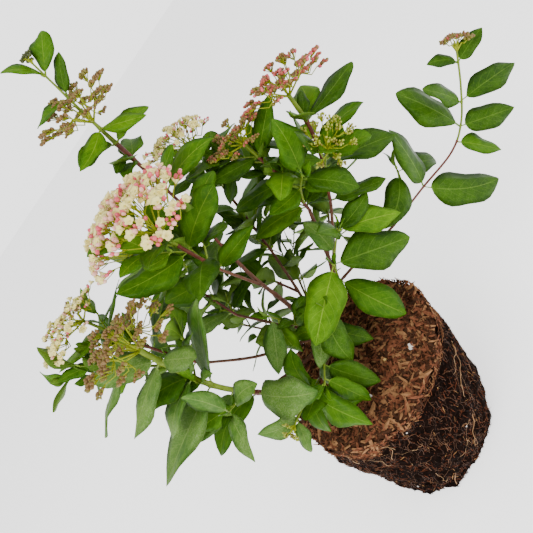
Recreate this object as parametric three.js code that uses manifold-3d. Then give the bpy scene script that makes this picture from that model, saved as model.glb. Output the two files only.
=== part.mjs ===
// A young laurustinus out of its nursery pot: a root ball that kept the pot's shape, a bark mulch on
// its top, a short trunk, boughs, and leafy shoots that end in flat-topped heads of buds and flowers.
// Millimetres, +Z up. The origin is the middle of the root ball's flat underside, and the viewer's
// side is -Y. Places in the tables are [x, y, height above the mulch].
import * as THREE from "three";
import { mergeVertices } from "three/addons/utils/BufferGeometryUtils.js";
import Module from "manifold-3d";

const wasm = await Module();
wasm.setup();

// The gap that touching solids keep, and the one between leaves of the same mass.
const GAP = 0.3;
const CROWD = 0.25;

// The root ball is that of a three litre pot, pressed a little to one side. belly is how far its side
// bulges, and lump how high its slow waves are. Its top is cut flat under the mulch.
const BALL = { height: 140, bottom: 71, top: 88, belly: 6, foot: 5, lean: 18, lump: 2.4, sides: 28, rows: 5 };
const MULCH = { top: 148, edge: 89, lump: 1.6, sides: 28 };
const SOIL = MULCH.top;

// The trunk, from its flat cut on the root ball to its fork. The foot is as wide as the flare, which
// dies away up the trunk at the rate of flare.
const TRUNK = { route: [[18, 20, -7.7], [18, 20, 8], [21, 22, 46]], foot: 8.5, flare: 9, radii: [4.8, 3.4] };

// Boughs: each one tapering limb, from its parent to where its foliage begins.
const BOUGHS = [
  { name: "leader", from: "trunk", radii: [2.7, 1.6], route: [[21, 22, 46.3], [26, 23, 90], [29, 25, 129], [36, 30, 165]] },
  { name: "centre_left", from: "leader", radii: [1.5, 1.3], route: [[27, 24, 122], [24, 12, 146], [21, -2, 172]] },
  { name: "front_left", from: "trunk", radii: [2.2, 2.2], route: [[19, 21, 22], [-14, 6, 44], [-50, -18, 80]] },
  { name: "mid_left", from: "trunk", radii: [1.7, 1.3], route: [[20, 22, 38], [4, 36, 70], [-12, 50, 110]] },
  { name: "back_left", from: "trunk", radii: [1.8, 1.4], route: [[18, 24, 30], [-37, 52, 60], [-74, 60, 108]] },
  { name: "back", from: "trunk", radii: [1.8, 1.4], route: [[21, 22, 34], [42, 50, 68], [59, 70, 104]] },
  { name: "right", from: "trunk", radii: [2.4, 1.7], route: [[20, 20, 26], [50, 19, 46], [78, 20, 68], [109, 20, 124]] },
  { name: "far_right", from: "right", radii: [1.6, 1.4], route: [[74, 20, 62], [98, 12, 88], [121, 2, 118]] },
  { name: "low_right", from: "right", radii: [1.5, 1.1], route: [[62, 20, 53], [104, 14, 50], [146, 8, 44]] },
];

// Masses of foliage. on is the bough whose tip carries the mass (tip true) or the limb that it springs
// from. route is the main stem, and radii its thickness at even steps. singles are leaves that stand
// alone: [share of the stem, length, turn, wider], with the turn round the stem in degrees and wider
// how much further than the rule says the leaf opens, in radians. spans are leaf pairs: [from, to,
// pairs, leaf length, first turn, wider], with from and to as shares. heads are [share, kind, width].
// shoots are side shoots: their place on the stem, their end, and how far they bow up. drop pulls
// leaves down, light is where the blades turn their faces, and twigs is how many the rule adds.
const MASSES = [
  { name: "leader", on: "leader", tip: true, drop: 0, light: [0, -0.9, 0.6], twigs: 0, seed: 11,
    radii: [1.4, 1.3, 1.5, 2.1, 1.0, 0.7], route: [[36, 30, 165], [47, 38, 215], [54, 40, 259], [61, 40, 307], [71, 40, 365]],
    singles: [[0.7, 38, 108, 0.72], [0.7, 40, -123, 0.86], [0.83, 33, 82, 0.39], [0.85, 31, -90, -0.36],
      [0.94, 30, 108, -0.17], [0.94, 33, -73, -0.23]],
    spans: [[0.41, 0.41, 1, 34, 60, 0], [0.54, 0.54, 1, 46, 170, 0.2], [0.62, 0.62, 1, 40, 75, 0.25]],
    heads: [[0.735, "brown", 80], [1, "tiny", 14]], shoots: [] },
  { name: "centre_left", on: "centre_left", tip: true, drop: 0, light: [-0.1, -0.6, 0.8], twigs: 2, seed: 23,
    radii: [1.3, 1.6], route: [[21, -2, 172], [20, -12, 205], [20, -20, 237]],
    singles: [], spans: [[0.05, 0.8, 4, 58, 70, 0]], heads: [[1, "white", 108]], shoots: [] },
  { name: "front_left", on: "front_left", tip: true, drop: 0, light: [-0.1, -0.15, 1], twigs: 2, seed: 37,
    radii: [2.2, 2.4], route: [[-50, -18, 80], [-56, -30, 117], [-57, -40, 149], [-57, -40, 185], [-56, -40, 206]],
    singles: [[0.04, 66, 89, 0], [0.06, 62, -147, 0.26], [0.28, 52, 99, -0.15], [0.49, 90, 95, 0.5], [0.49, 78, -84, -0.44],
      [0.5, 48, -139, 0.1], [0.63, 52, 96, 0.65], [0.87, 62, 62, -0.3], [0.86, 46, -146, 0.59], [0.86, 62, 77, 0.8], [0.84, 52, 43, 1.4]],
    spans: [[0.64, 0.64, 1, 50, 75, 0.2], [0.8, 0.8, 1, 50, 130, 0.1]], heads: [[1, "brown", 88]],
    shoots: [{ at: 0.8, to: [-84, -14, 200], bow: 2, singles: [[0.97, 62, 116, 0]], spans: [[0.5, 0.5, 1, 32, 60, 0]], heads: [] }] },
  { name: "back_left", on: "back_left", tip: true, drop: 0, light: [-0.4, -0.2, 0.9], twigs: 2, seed: 41,
    radii: [1.4, 1.4], route: [[-74, 60, 108], [-82, 60, 160], [-87, 60, 230]],
    singles: [], spans: [[0.05, 0.8, 5, 66, 90, 0.15]], heads: [[1, "pale", 84]],
    shoots: [{ at: 0.55, to: [-140, 60, 212], bow: -6, singles: [], spans: [[0.5, 0.97, 2, 34, 60, 0]], heads: [] }] },
  { name: "mid_left", on: "mid_left", tip: true, drop: 0, light: [-0.1, -0.4, 0.9], twigs: 3, seed: 53,
    radii: [1.3, 1.0], route: [[-12, 50, 110], [-11, 60, 165], [-9, 60, 212]],
    singles: [], spans: [[0.05, 0.85, 5, 58, 80, 0]], heads: [],
    shoots: [{ at: 0.62, to: [-36, 40, 190], bow: 3, singles: [], spans: [[0.6, 0.6, 1, 36, 60, 0]], heads: [[1, "green", 24]] }] },
  { name: "back", on: "back", tip: true, drop: 0, light: [0, -0.3, 0.9], twigs: 2, seed: 61, radii: [1.4, 1.4],
    route: [[59, 70, 104], [73, 80, 145], [88, 80, 196], [98, 80, 232]],
    singles: [], spans: [[0.05, 0.82, 5, 62, 70, 0]], heads: [[1, "pale", 76]], shoots: [] },
  { name: "right", on: "right", tip: true, drop: 0, light: [0.1, -0.7, 0.7], twigs: 2, seed: 71, radii: [1.5, 1.7],
    route: [[109, 20, 124], [115, 20, 159], [118, 20, 210]],
    singles: [], spans: [[0.05, 0.8, 5, 62, 80, 0]], heads: [[1, "olive", 68]],
    shoots: [{ at: 0.1, to: [118, -28, 171], bow: 3, singles: [[0.97, 50, -9, -0.1], [0.88, 46, -146, 0.38]],
      spans: [[0.55, 0.55, 1, 40, 70, 0]], heads: [] }] },
  { name: "far_right", on: "far_right", tip: true, drop: 0, light: [0.2, -0.5, 0.8], twigs: 2, seed: 83,
    radii: [1.4, 1.9], route: [[121, 2, 118], [146, 0, 152], [160, 0, 180], [167, 2, 207]],
    singles: [[0.75, 58, -100, 0.15], [0.34, 68, -102, 0.16], [0.78, 34, -60, 0.3]],
    spans: [[0.05, 0.74, 4, 54, 60, 0]], heads: [[1, "rose", 86]],
    shoots: [{ at: 0.25, to: [146, -32, 168], bow: 2, singles: [], spans: [[0.6, 0.6, 1, 40, 70, 0.2]], heads: [[1, "green", 50]] }] },
  { name: "low_right", on: "low_right", tip: true, drop: 0, light: [0, -1.6, 0.5], twigs: 0, seed: 97,
    radii: [1.1, 0.9], route: [[146, 8, 44], [188, 0, 47], [228, -10, 50], [254, -10, 60], [272, -15, 86], [286, -20, 114]],
    singles: [[0.26, 82, -91, -0.44], [0.26, 68, 82, -0.04], [0.62, 70, 73, 0.04], [0.62, 52, -108, 0.02], [0.54, 44, -111, 0.2],
      [0.75, 62, -94, 0.26], [0.74, 48, 86, -0.11]],
    spans: [[0.94, 0.94, 1, 32, 70, 0]], heads: [[1, "olive", 32]],
    shoots: [{ at: 0.16, to: [190, 12, 76], bow: 2, singles: [[0.88, 56, 88, 1.4], [0.9, 50, -101, 0.63]], spans: [], heads: [] }] },
  { name: "base_right", on: "right", tip: false, drop: 0, light: [0, -0.8, 0.6], twigs: 0, seed: 101,
    radii: [1.3, 1.0], route: [[58, 19.5, 50], [70, -2, 68], [78, -20, 96]],
    singles: [[0.97, 72, 122, 0.72], [0.99, 74, -109, 0.77], [0.56, 70, -155, 0.77]], spans: [],
    heads: [], shoots: [{ at: 0.35, to: [104, -20, 112], bow: 4,
      singles: [[0.97, 58, -100, 0.4]], spans: [[0.6, 0.97, 2, 46, 30, 0]], heads: [] }] },
  { name: "base_front", on: "trunk", tip: false, drop: 0, light: [0, -0.8, 0.6], twigs: 0, seed: 113,
    radii: [1.3, 0.9], route: [[19, 20, 20], [28, -6, 50], [42, -28, 84]],
    singles: [[0.98, 54, 173, 1.3]], spans: [[0.5, 0.7, 2, 44, 230, 0.5]], heads: [],
    shoots: [
      { at: 0.2, to: [-10, -58, 62], bow: 4, singles: [[0.67, 52, 148, 0.42], [0.97, 40, 23, -0.33], [0.9, 50, 127, 0.66]],
        spans: [], heads: [] },
      { at: 0.12, to: [8, 6, 104], bow: 6, singles: [[0.97, 52, 116, 0.9], [0.87, 38, 140, 1.23]], spans: [[0.6, 0.6, 1, 34, 60, 0.3]],
        heads: [] }] },
  { name: "base_left", on: "trunk", tip: false, drop: 0, light: [-0.3, -0.7, 0.7], twigs: 0, seed: 127,
    radii: [1.3, 0.9], route: [[19, 20, 14], [-10, -12, 32], [-36, -46, 58], [-52, -60, 66]],
    singles: [[0.9, 40, -25, -0.2], [0.94, 32, 79, -0.13], [0.66, 52, 177, 0.41]], spans: [[0.45, 0.6, 2, 44, 30, 0.3]],
    heads: [[1, "green", 24]], shoots: [] },
  { name: "low_back_left", on: "trunk", tip: false, drop: 0.15, light: [-0.4, 0.3, 0.9], twigs: 2, seed: 137,
    radii: [1.4, 1.0], route: [[18, 20, 18], [-8, 70, 46], [-30, 104, 86], [-38, 118, 124]],
    singles: [], spans: [[0.3, 0.97, 5, 62, 20, 0]], heads: [], shoots: [] },
  { name: "low_back_right", on: "trunk", tip: false, drop: 0.15, light: [0.3, 0.4, 0.9], twigs: 2, seed: 149,
    radii: [1.4, 1.0], route: [[18, 20, 24], [44, 74, 44], [74, 110, 76], [88, 122, 116]],
    singles: [], spans: [[0.3, 0.97, 5, 62, 50, 0]], heads: [], shoots: [] },
  { name: "back_middle", on: "back", tip: false, drop: 0.1, light: [0, 0.4, 0.9], twigs: 2, seed: 163,
    radii: [1.4, 1.0], route: [[41, 49, 66], [34, 78, 94], [27, 100, 132], [28, 104, 170]],
    singles: [], spans: [[0.2, 0.97, 5, 60, 10, 0]], heads: [], shoots: [] },
  { name: "right_back", on: "right", tip: false, drop: 0.1, light: [0.4, 0.1, 0.9], twigs: 2, seed: 179,
    radii: [1.4, 1.0], route: [[84, 20, 78], [122, 54, 84], [148, 70, 112]],
    singles: [], spans: [[0.35, 0.97, 4, 62, 40, 0]], heads: [], shoots: [] },
];
const SHOOT_RADII = [1.1, 0.8];
// How far apart the rings of a main stem are, close enough to keep its leaves on it in its bends.
const STEM_STEP = 11;

// One leaf. Widths, thickness and fold are shares of its length, and bend is its whole curve in
// radians. rings are [share of the length, share of the width], inset is the root's way off the axis.
const LEAF = { width: 0.5, thick: 0.03, fold: 0.09, bend: 0.5, inset: 0.1, rings: [[0.28, 0.92], [0.66, 0.88]] };

// How leaves stand on a stem: the angle to it at its foot, how far that closes towards the tip, and
// how much chance changes each. reach is how far from its stem a leaf's tip may come.
const STANCE = { open: 1.45, close: 0.45, tilt: 0.25, swing: 0.2, plane: 0.3, least: 0.78, vary: 0.2, reach: 90 };

// The tries that a leaf gets to find free space: turned round its stem, tilted, and its size.
const TRIES = [[0, 0, 1], [0.3, 0, 1], [-0.3, 0, 1], [0, -0.3, 0.95], [0, 0.3, 0.95], [0.55, 0.1, 0.88],
  [-0.55, 0.1, 0.88], [0.2, -0.5, 0.8], [-0.2, 0.45, 0.75], [0.9, 0, 0.7], [-0.9, 0, 0.7]];

// Twigs that the seeded rule adds: their length, angle and thickness, stretch is the part of the stem
// that they spring from, and spans their own leaf pairs. TWIG_TURNS are the tries round the stem.
const TWIG = { length: 34, open: 0.75, lift: 4, radii: [0.9, 0.6], stretch: [0.08, 0.85], from: 0.6, to: 0.98, leaf: 44 };
const TWIG_TURNS = [0, 1.3, 2.6, 3.9, 5.2];

// A flower head: rays fan out from a knot at the shoot's end, and each carries one cluster of buds or
// flowers. cluster is a cluster's radius and dome the head's height, as shares of its width.
const HEADS = {
  white: { rays: 14, cluster: 0.108, dome: 0.38 },
  pale: { rays: 9, cluster: 0.1, dome: 0.3 },
  brown: { rays: 10, cluster: 0.112, dome: 0.34 },
  rose: { rays: 9, cluster: 0.112, dome: 0.26 },
  olive: { rays: 7, cluster: 0.12, dome: 0.3 },
  green: { rays: 6, cluster: 0.125, dome: 0.5 },
  tiny: { rays: 3, cluster: 0.2, dome: 0.6 },
};
const RAY = { knot: 3.4, sunk: 0.5, radii: [0.62, 0.55], flat: 0.72, round: 0.55 };
const GOLDEN_ANGLE = Math.PI * (3 - Math.sqrt(5));

const COLORS = { ball: 0x2c1f18, mulch: 0x5e3a26, trunk: 0x6d5138, bough: 0x7a4a32, leaf: 0x3f6b2c };

// A repeatable run of numbers between 0 and 1.
function seeded(seed) {
  let state = seed;
  return () => {
    state = (state * 16807) % 2147483647;
    return state / 2147483647;
  };
}

// A closed three.js geometry as a solid that can be joined and cut.
function solidOf(geometry) {
  geometry.deleteAttribute("normal");
  geometry.deleteAttribute("uv");
  const merged = mergeVertices(geometry, 1e-4);
  return new wasm.Manifold(new wasm.Mesh({
    numProp: 3,
    vertProperties: new Float32Array(merged.attributes.position.array),
    triVerts: new Uint32Array(merged.index.array),
  }));
}

// The largest piece of a solid, without the scraps that a cut leaves.
function largest(solid) {
  return solid.decompose().sort((a, b) => b.volume() - a.volume())[0];
}

// The part of a solid that lies past the flat end of a bough, a gap away from it.
function clearOfTip(solid, line) {
  const end = line.getPointAt(1);
  const along = line.getTangentAt(1);
  return solid.trimByPlane(along.toArray(), end.dot(along) + GAP);
}

function smoothLine(points) {
  return new THREE.CatmullRomCurve3(points, false, "catmullrom", 0.5);
}

// A smooth line through places given as [x, y, height above the mulch].
function lineThrough(route) {
  return smoothLine(route.map(([x, y, height]) => new THREE.Vector3(x, y, height + SOIL)));
}

// The two directions across a stem: back, which is as near to +Y as it can be, and side.
function acrossOf(along) {
  const back = new THREE.Vector3(0, 1, 0).addScaledVector(along, -along.y).normalize();
  return { back, side: along.clone().cross(back) };
}

function stemFrame(line, share) {
  const along = line.getTangentAt(share);
  return { node: line.getPointAt(share), along, ...acrossOf(along) };
}

// A limb: an upright cylinder whose rings are laid along the line. radiusAt gives the thickness.
function limb(line, radiusAt, sides, steps) {
  const geometry = new THREE.CylinderGeometry(1, 1, 1, sides, steps);
  const position = geometry.attributes.position;
  for (let i = 0; i < position.count; i++) {
    const share = THREE.MathUtils.clamp(position.getY(i) + 0.5, 0, 1);
    const { node, back, side } = stemFrame(line, share);
    const radius = radiusAt(share);
    node.addScaledVector(back, position.getX(i) * radius).addScaledVector(side, -position.getZ(i) * radius);
    position.setXYZ(i, node.x, node.y, node.z);
  }
  return solidOf(geometry);
}

// The radius along a limb whose radii are given at even steps.
function taper(radii) {
  return (share) => {
    const place = share * (radii.length - 1);
    const step = Math.min(Math.floor(place), radii.length - 2);
    return radii[step] + (radii[step + 1] - radii[step]) * (place - step);
  };
}

// The trunk widens at its foot, where the roots begin.
function trunkRadius(share) {
  return taper(TRUNK.radii)(share) + (TRUNK.foot - TRUNK.radii[0]) * Math.exp(-TRUNK.flare * share);
}

// Slow waves round and up the root ball, that keep its outline uneven.
function lumps(angle, height) {
  return 0.5 * Math.sin(3 * angle + 0.05 * height) + 0.35 * Math.sin(7 * angle - 0.08 * height + 1)
    + 0.3 * Math.sin(12 * angle + 0.21 * height + 2);
}

// A turned form with lumps on what lies past the radius flat, and a centre that leans with height.
function lumpyTurned(profile, sides, lump, flat) {
  const geometry = new THREE.LatheGeometry(profile.map(([radius, z]) => new THREE.Vector2(radius, z)), sides);
  const position = geometry.attributes.position;
  for (let i = 0; i < position.count; i++) {
    const [x, z, y] = [position.getX(i), position.getY(i), position.getZ(i)];
    const radius = Math.hypot(x, y);
    const swell = radius > flat ? 1 + (lump * lumps(Math.atan2(y, x), z)) / radius : 1;
    position.setXYZ(i, x * swell + (BALL.lean * z) / SOIL, -y * swell, z);
  }
  return solidOf(geometry);
}

// The root ball: a flat foot with a worn edge, a slightly bulging side and a flat top.
function rootBall() {
  const profile = [[0, 0], [BALL.bottom - BALL.foot, 0]];
  for (let row = 0; row <= BALL.rows; row++) {
    const share = row / BALL.rows;
    const radius = BALL.bottom + (BALL.top - BALL.bottom) * share + BALL.belly * Math.sin(Math.PI * share);
    profile.push([radius, BALL.foot + (BALL.height - BALL.foot) * share]);
  }
  profile.push([0, BALL.height]);
  return lumpyTurned(profile, BALL.sides, BALL.lump, BALL.bottom / 2);
}

// The mulch is heaped a little, worn off at its rim, and open round the trunk's foot.
function barkMulch() {
  const floor = BALL.height + GAP;
  const profile = [[0, floor], [MULCH.edge - 1, floor], [MULCH.edge, floor + 3], [MULCH.edge - 5, MULCH.top - 1],
    [MULCH.edge * 0.75, MULCH.top + 0.5], [MULCH.edge * 0.4, MULCH.top], [0, MULCH.top]];
  const hole = TRUNK.foot + 2 * GAP;
  const [x, y] = TRUNK.route[0];
  const well = new THREE.CylinderGeometry(hole, hole, MULCH.top, 16).rotateX(Math.PI / 2).translate(x, y, MULCH.top);
  return lumpyTurned(profile, MULCH.sides, MULCH.lump, MULCH.edge / 2).subtract(solidOf(well));
}

// One leaf: a thin blade folded along its midrib and bent down on both sides of its middle, so that
// its tip lies on the chord from its root. It starts and ends in a point, and every ring between has
// a left edge, a keel, a right edge and a crest.
function leafSolid(root, chord, face, length) {
  const across = chord.clone().cross(face);
  const outward = chord.clone().applyAxisAngle(across, LEAF.bend / 2);
  const upward = face.clone().applyAxisAngle(across, LEAF.bend / 2);
  const spine = (share) => {
    const turn = LEAF.bend * share;
    const place = root.clone().addScaledVector(outward, (length * Math.sin(turn)) / LEAF.bend)
      .addScaledVector(upward, (-length * (1 - Math.cos(turn))) / LEAF.bend);
    return { place, up: upward.clone().multiplyScalar(Math.cos(turn)).addScaledVector(outward, Math.sin(turn)) };
  };
  const points = [root];
  for (const [share, width] of LEAF.rings) {
    const { place, up } = spine(share);
    const half = (LEAF.width * length * width) / 2;
    const edge = up.clone().multiplyScalar(2 * half * LEAF.fold);
    const crest = up.clone().multiplyScalar((LEAF.thick * length) / 2);
    points.push(place.clone().addScaledVector(across, -half).add(edge), place.clone().sub(crest));
    points.push(place.clone().addScaledVector(across, half).add(edge), place.clone().add(crest));
  }
  points.push(spine(1).place);
  const last = points.length - 1;
  const faces = [];
  for (let k = 0; k < 4; k++) {
    const next = (k + 1) % 4;
    faces.push(0, 1 + k, 1 + next);
    for (let ring = 1; ring + 4 < last; ring += 4) {
      faces.push(ring + k, ring + 4 + k, ring + next, ring + next, ring + 4 + k, ring + 4 + next);
    }
    faces.push(last - 4 + k, last, last - 4 + next);
  }
  const geometry = new THREE.BufferGeometry();
  geometry.setAttribute("position", new THREE.Float32BufferAttribute(points.flatMap((p) => p.toArray()), 3));
  geometry.setIndex(faces);
  return solidOf(geometry);
}

// A flower head: rays in a golden-angle fan, so that it is even from above, each with its cluster.
function headSolids(hub, along, kind, width, random) {
  const { rays, cluster, dome } = HEADS[kind];
  const { back, side } = acrossOf(along);
  const size = cluster * width;
  const solids = [solidOf(new THREE.OctahedronGeometry(RAY.knot).translate(hub.x, hub.y, hub.z))];
  for (let ray = 0; ray < rays; ray++) {
    const reach = Math.sqrt((ray + 0.35) / rays) * (0.92 + 0.16 * random());
    const angle = ray * GOLDEN_ANGLE + 0.3 * random();
    const rise = width * (dome * (1.05 - RAY.round * reach * reach) + 0.03 * random()) - size * RAY.flat;
    const end = hub.clone().addScaledVector(along, rise)
      .addScaledVector(back, (width / 2 - size) * reach * Math.cos(angle))
      .addScaledVector(side, (width / 2 - size) * reach * Math.sin(angle));
    const start = hub.clone().add(end.clone().sub(hub).setLength(RAY.knot * RAY.sunk));
    solids.push(limb(new THREE.LineCurve3(start, end), taper(RAY.radii), 3, 1));
    const lump = new THREE.SphereGeometry(size * (0.9 + 0.24 * random()), 6, 2).rotateX(Math.PI / 2);
    lump.rotateZ(Math.PI * random()).scale(1, 1, RAY.flat).translate(end.x, end.y, end.z);
    solids.push(solidOf(lump));
  }
  return solids;
}

// All that is in place so far, so that each new piece can be tested against it.
const kept = [];
function keep(solid, owner, tag) {
  kept.push({ solid, box: solid.boundingBox(), owner, tag });
}

function boxesMeet(a, b, margin) {
  return [0, 1, 2].every((k) => a.min[k] - margin < b.max[k] && b.min[k] - margin < a.max[k]);
}

// True when a new piece of a mass stays clear of every other limb and mass, and of the mass's own
// pieces except those with a tag that it grows from.
function isClear(solid, owner, tags) {
  const box = solid.boundingBox();
  return kept.every((other) => {
    const own = other.owner === owner;
    if (own && tags.includes(other.tag)) return true;
    const gap = own ? CROWD : GAP;
    return !boxesMeet(box, other.box, gap) || solid.minGap(other.solid, 2 * gap) >= gap;
  });
}

// One leaf of a mass, angle radians round its stem. It takes the first of the tries that finds free
// space and stays in its mass's space, and is left out where none does.
function growLeaf(mass, line, tag, share, angle, open, longest) {
  const { node, along, back, side } = stemFrame(line, share);
  const pairTag = `${tag} ${share}`;
  for (const [moreSwing, moreTilt, scale] of TRIES) {
    const turned = angle + moreSwing;
    const opened = open + moreTilt;
    const away = back.clone().multiplyScalar(Math.cos(turned)).addScaledVector(side, Math.sin(turned));
    const chord = along.clone().multiplyScalar(Math.cos(opened)).addScaledVector(away, Math.sin(opened));
    chord.z -= mass.drop * (1 - 0.5 * share);
    chord.normalize();
    const face = along.clone().multiplyScalar(0.5).add(new THREE.Vector3(...mass.light));
    face.addScaledVector(chord, -face.dot(chord)).normalize();
    const root = node.clone().addScaledVector(away, LEAF.inset);
    const leaf = leafSolid(root, chord, face, longest * scale);
    const tip = root.clone().addScaledVector(chord, longest * scale);
    const inSpace = mass.line.getSpacedPoints(12).some((point) => point.distanceTo(tip) < STANCE.reach);
    if (!inSpace || !isClear(leaf, mass.name, [tag, pairTag])) continue;
    keep(leaf, mass.name, pairTag);
    mass.pieces.push(leaf);
    return;
  }
}

const openingAt = (share, wider) => STANCE.open - STANCE.close * share + wider;

function growSingles(mass, line, tag, singles) {
  for (const [share, length, turn, wider] of singles) {
    growLeaf(mass, line, tag, share, THREE.MathUtils.degToRad(turn), openingAt(share, wider), length);
  }
}

// The pairs of leaves along one stem. Each pair stands a quarter turn from the one before it.
function growPairs(mass, line, tag, spans, random) {
  for (const [from, to, pairs, size, firstTurn, wider] of spans) {
    for (let pair = 0; pair < pairs; pair++) {
      const share = pairs === 1 ? from : from + ((to - from) * pair) / (pairs - 1);
      const turn = THREE.MathUtils.degToRad(firstTurn + 90 * pair) + STANCE.plane * (random() - 0.5);
      const longest = size * (STANCE.least + (1 - STANCE.least) * Math.sin((Math.PI * (pair + 0.5)) / pairs));
      for (const half of [0, 1]) {
        const [vary, swing, tilt] = [random() - 0.5, random() - 0.5, random() - 0.5];
        growLeaf(mass, line, tag, share, turn + Math.PI * half + STANCE.swing * swing,
          openingAt(share, wider) + STANCE.tilt * tilt, longest * (1 + STANCE.vary * vary));
      }
    }
  }
}

// The seeded rule: short twigs from the stem, each with two pairs of smaller leaves.
function growTwigs(mass) {
  const [from, to] = TWIG.stretch;
  for (let twig = 0; twig < mass.twigs; twig++) {
    const draws = [mass.random(), mass.random(), mass.random(), mass.random()];
    const share = from + ((to - from) * (twig + 0.3 + 0.4 * draws[0])) / mass.twigs;
    const open = TWIG.open + 0.3 * (draws[2] - 0.5);
    const length = TWIG.length * (0.8 + 0.4 * draws[3]);
    const { node, along, back, side } = stemFrame(mass.line, share);
    const leafRandom = seeded(mass.seed * 31 + twig + 1);
    for (const swing of TWIG_TURNS) {
      const angle = 2 * Math.PI * draws[1] + swing;
      const outward = along.clone().multiplyScalar(Math.cos(open))
        .addScaledVector(back, Math.sin(open) * Math.cos(angle)).addScaledVector(side, Math.sin(open) * Math.sin(angle));
      const middle = node.clone().addScaledVector(outward, length * 0.5);
      const end = node.clone().addScaledVector(outward, length).add(new THREE.Vector3(0, 0, TWIG.lift));
      const line = smoothLine([node, middle, end]);
      const solid = limb(line, taper(TWIG.radii), 3, 2);
      if (!isClear(solid, mass.name, ["stem"])) continue;
      const tag = `twig ${twig}`;
      keep(solid, mass.name, tag);
      mass.pieces.push(solid);
      growPairs(mass, line, tag, [[TWIG.from, TWIG.to, 2, TWIG.leaf, 90 * draws[2], 0]], leafRandom);
      break;
    }
  }
}

// A side shoot leaves its stem in a bow.
function sideLine(line, shoot) {
  const start = line.getPointAt(shoot.at);
  const end = new THREE.Vector3(...shoot.to).add(new THREE.Vector3(0, 0, SOIL));
  const middle = start.clone().lerp(end, 0.5).add(new THREE.Vector3(0, 0, shoot.bow));
  return smoothLine([start, middle, end]);
}

// The root ball, its mulch and the limbs. A bough that springs from another limb is cut clear of it,
// with a copy of that limb that is a gap thicker.
const solids = new Map([["root_ball", rootBall()], ["bark_mulch", barkMulch()]]);
const lines = new Map([["trunk", lineThrough(TRUNK.route)]]);
const thicker = new Map();
solids.set("trunk", limb(lines.get("trunk"), trunkRadius, 10, 6));
thicker.set("trunk", limb(lines.get("trunk"), (share) => trunkRadius(share) + 1.2 * GAP, 10, 6));
for (const bough of BOUGHS) {
  const line = lineThrough(bough.route);
  const radiusAt = taper(bough.radii);
  lines.set(bough.name, line);
  thicker.set(bough.name, limb(line, (share) => radiusAt(share) + 1.2 * GAP, 6, 5));
  solids.set(`bough_${bough.name}`, largest(limb(line, radiusAt, 6, 5).subtract(thicker.get(bough.from))));
}
for (const [name, solid] of solids) keep(solid, name, "limb");

// The stems of every mass come first, then the flower heads, the single leaves, the pairs and the
// seeded twigs.
const masses = MASSES.map((mass) => {
  const line = lineThrough(mass.route);
  const whole = limb(line, taper(mass.radii), 5, Math.ceil(line.getLength() / STEM_STEP));
  const stem = mass.tip ? clearOfTip(whole, lines.get(mass.on)) : largest(whole.subtract(thicker.get(mass.on)));
  const pieces = [stem];
  keep(stem, mass.name, "stem");
  const shoots = mass.shoots.map((shoot, index) => ({ ...shoot, line: sideLine(line, shoot), tag: `shoot ${index}` }));
  for (const shoot of shoots) {
    const solid = limb(shoot.line, taper(SHOOT_RADII), 4, 4);
    keep(solid, mass.name, shoot.tag);
    pieces.push(solid);
  }
  return { ...mass, line, pieces, stems: [{ ...mass, line, tag: "stem" }, ...shoots], random: seeded(mass.seed) };
});
for (const mass of masses) {
  for (const stem of mass.stems) {
    for (const [share, kind, width] of stem.heads) {
      const { node, along } = stemFrame(stem.line, share);
      for (const piece of headSolids(node, along, kind, width, mass.random)) {
        keep(piece, mass.name, "head");
        mass.pieces.push(piece);
      }
    }
  }
}
for (const mass of masses) {
  for (const stem of mass.stems) growSingles(mass, stem.line, stem.tag, stem.singles);
}
for (const mass of masses) {
  for (const stem of mass.stems) growPairs(mass, stem.line, stem.tag, stem.spans, mass.random);
}
for (const mass of masses) growTwigs(mass);
for (const mass of masses) solids.set(`foliage_${mass.name}`, largest(wasm.Manifold.union(mass.pieces)));

function colorOf(name) {
  if (name === "root_ball") return COLORS.ball;
  if (name === "bark_mulch") return COLORS.mulch;
  if (name === "trunk") return COLORS.trunk;
  return name.startsWith("bough_") ? COLORS.bough : COLORS.leaf;
}

const group = new THREE.Group();
for (const [name, solid] of solids) {
  const { vertProperties, triVerts } = solid.getMesh();
  const geometry = new THREE.BufferGeometry();
  geometry.setAttribute("position", new THREE.Float32BufferAttribute(vertProperties, 3));
  geometry.setIndex(Array.from(triVerts));
  const mesh = new THREE.Mesh(geometry, new THREE.MeshStandardMaterial({ color: colorOf(name), roughness: 0.7 }));
  mesh.name = name;
  group.add(mesh);
}

export default group;
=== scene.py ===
"""A young laurustinus out of its pot: a bare root ball of peat, roots and bark mulch, a short trunk,
boughs, and leafy shoots that end in heads of buds and small white flowers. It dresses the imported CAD
part. Shapes are worked out in millimetres, +Z up, and set down in metres."""

import itertools
import math

import bpy
import numpy as np
from mathutils import Matrix, Vector, kdtree


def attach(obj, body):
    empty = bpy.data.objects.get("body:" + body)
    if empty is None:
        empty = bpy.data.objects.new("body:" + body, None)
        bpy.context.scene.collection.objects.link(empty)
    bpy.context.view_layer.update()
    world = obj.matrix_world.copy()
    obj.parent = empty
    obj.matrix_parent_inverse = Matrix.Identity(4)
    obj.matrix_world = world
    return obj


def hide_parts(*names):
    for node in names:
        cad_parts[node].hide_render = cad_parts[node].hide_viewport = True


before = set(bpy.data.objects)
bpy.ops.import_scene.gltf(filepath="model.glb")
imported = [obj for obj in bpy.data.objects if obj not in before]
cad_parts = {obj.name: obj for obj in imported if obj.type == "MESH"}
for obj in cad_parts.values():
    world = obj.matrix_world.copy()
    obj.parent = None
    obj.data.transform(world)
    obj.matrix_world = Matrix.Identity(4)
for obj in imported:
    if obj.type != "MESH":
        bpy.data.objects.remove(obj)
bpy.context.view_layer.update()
MM = 0.001


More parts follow.
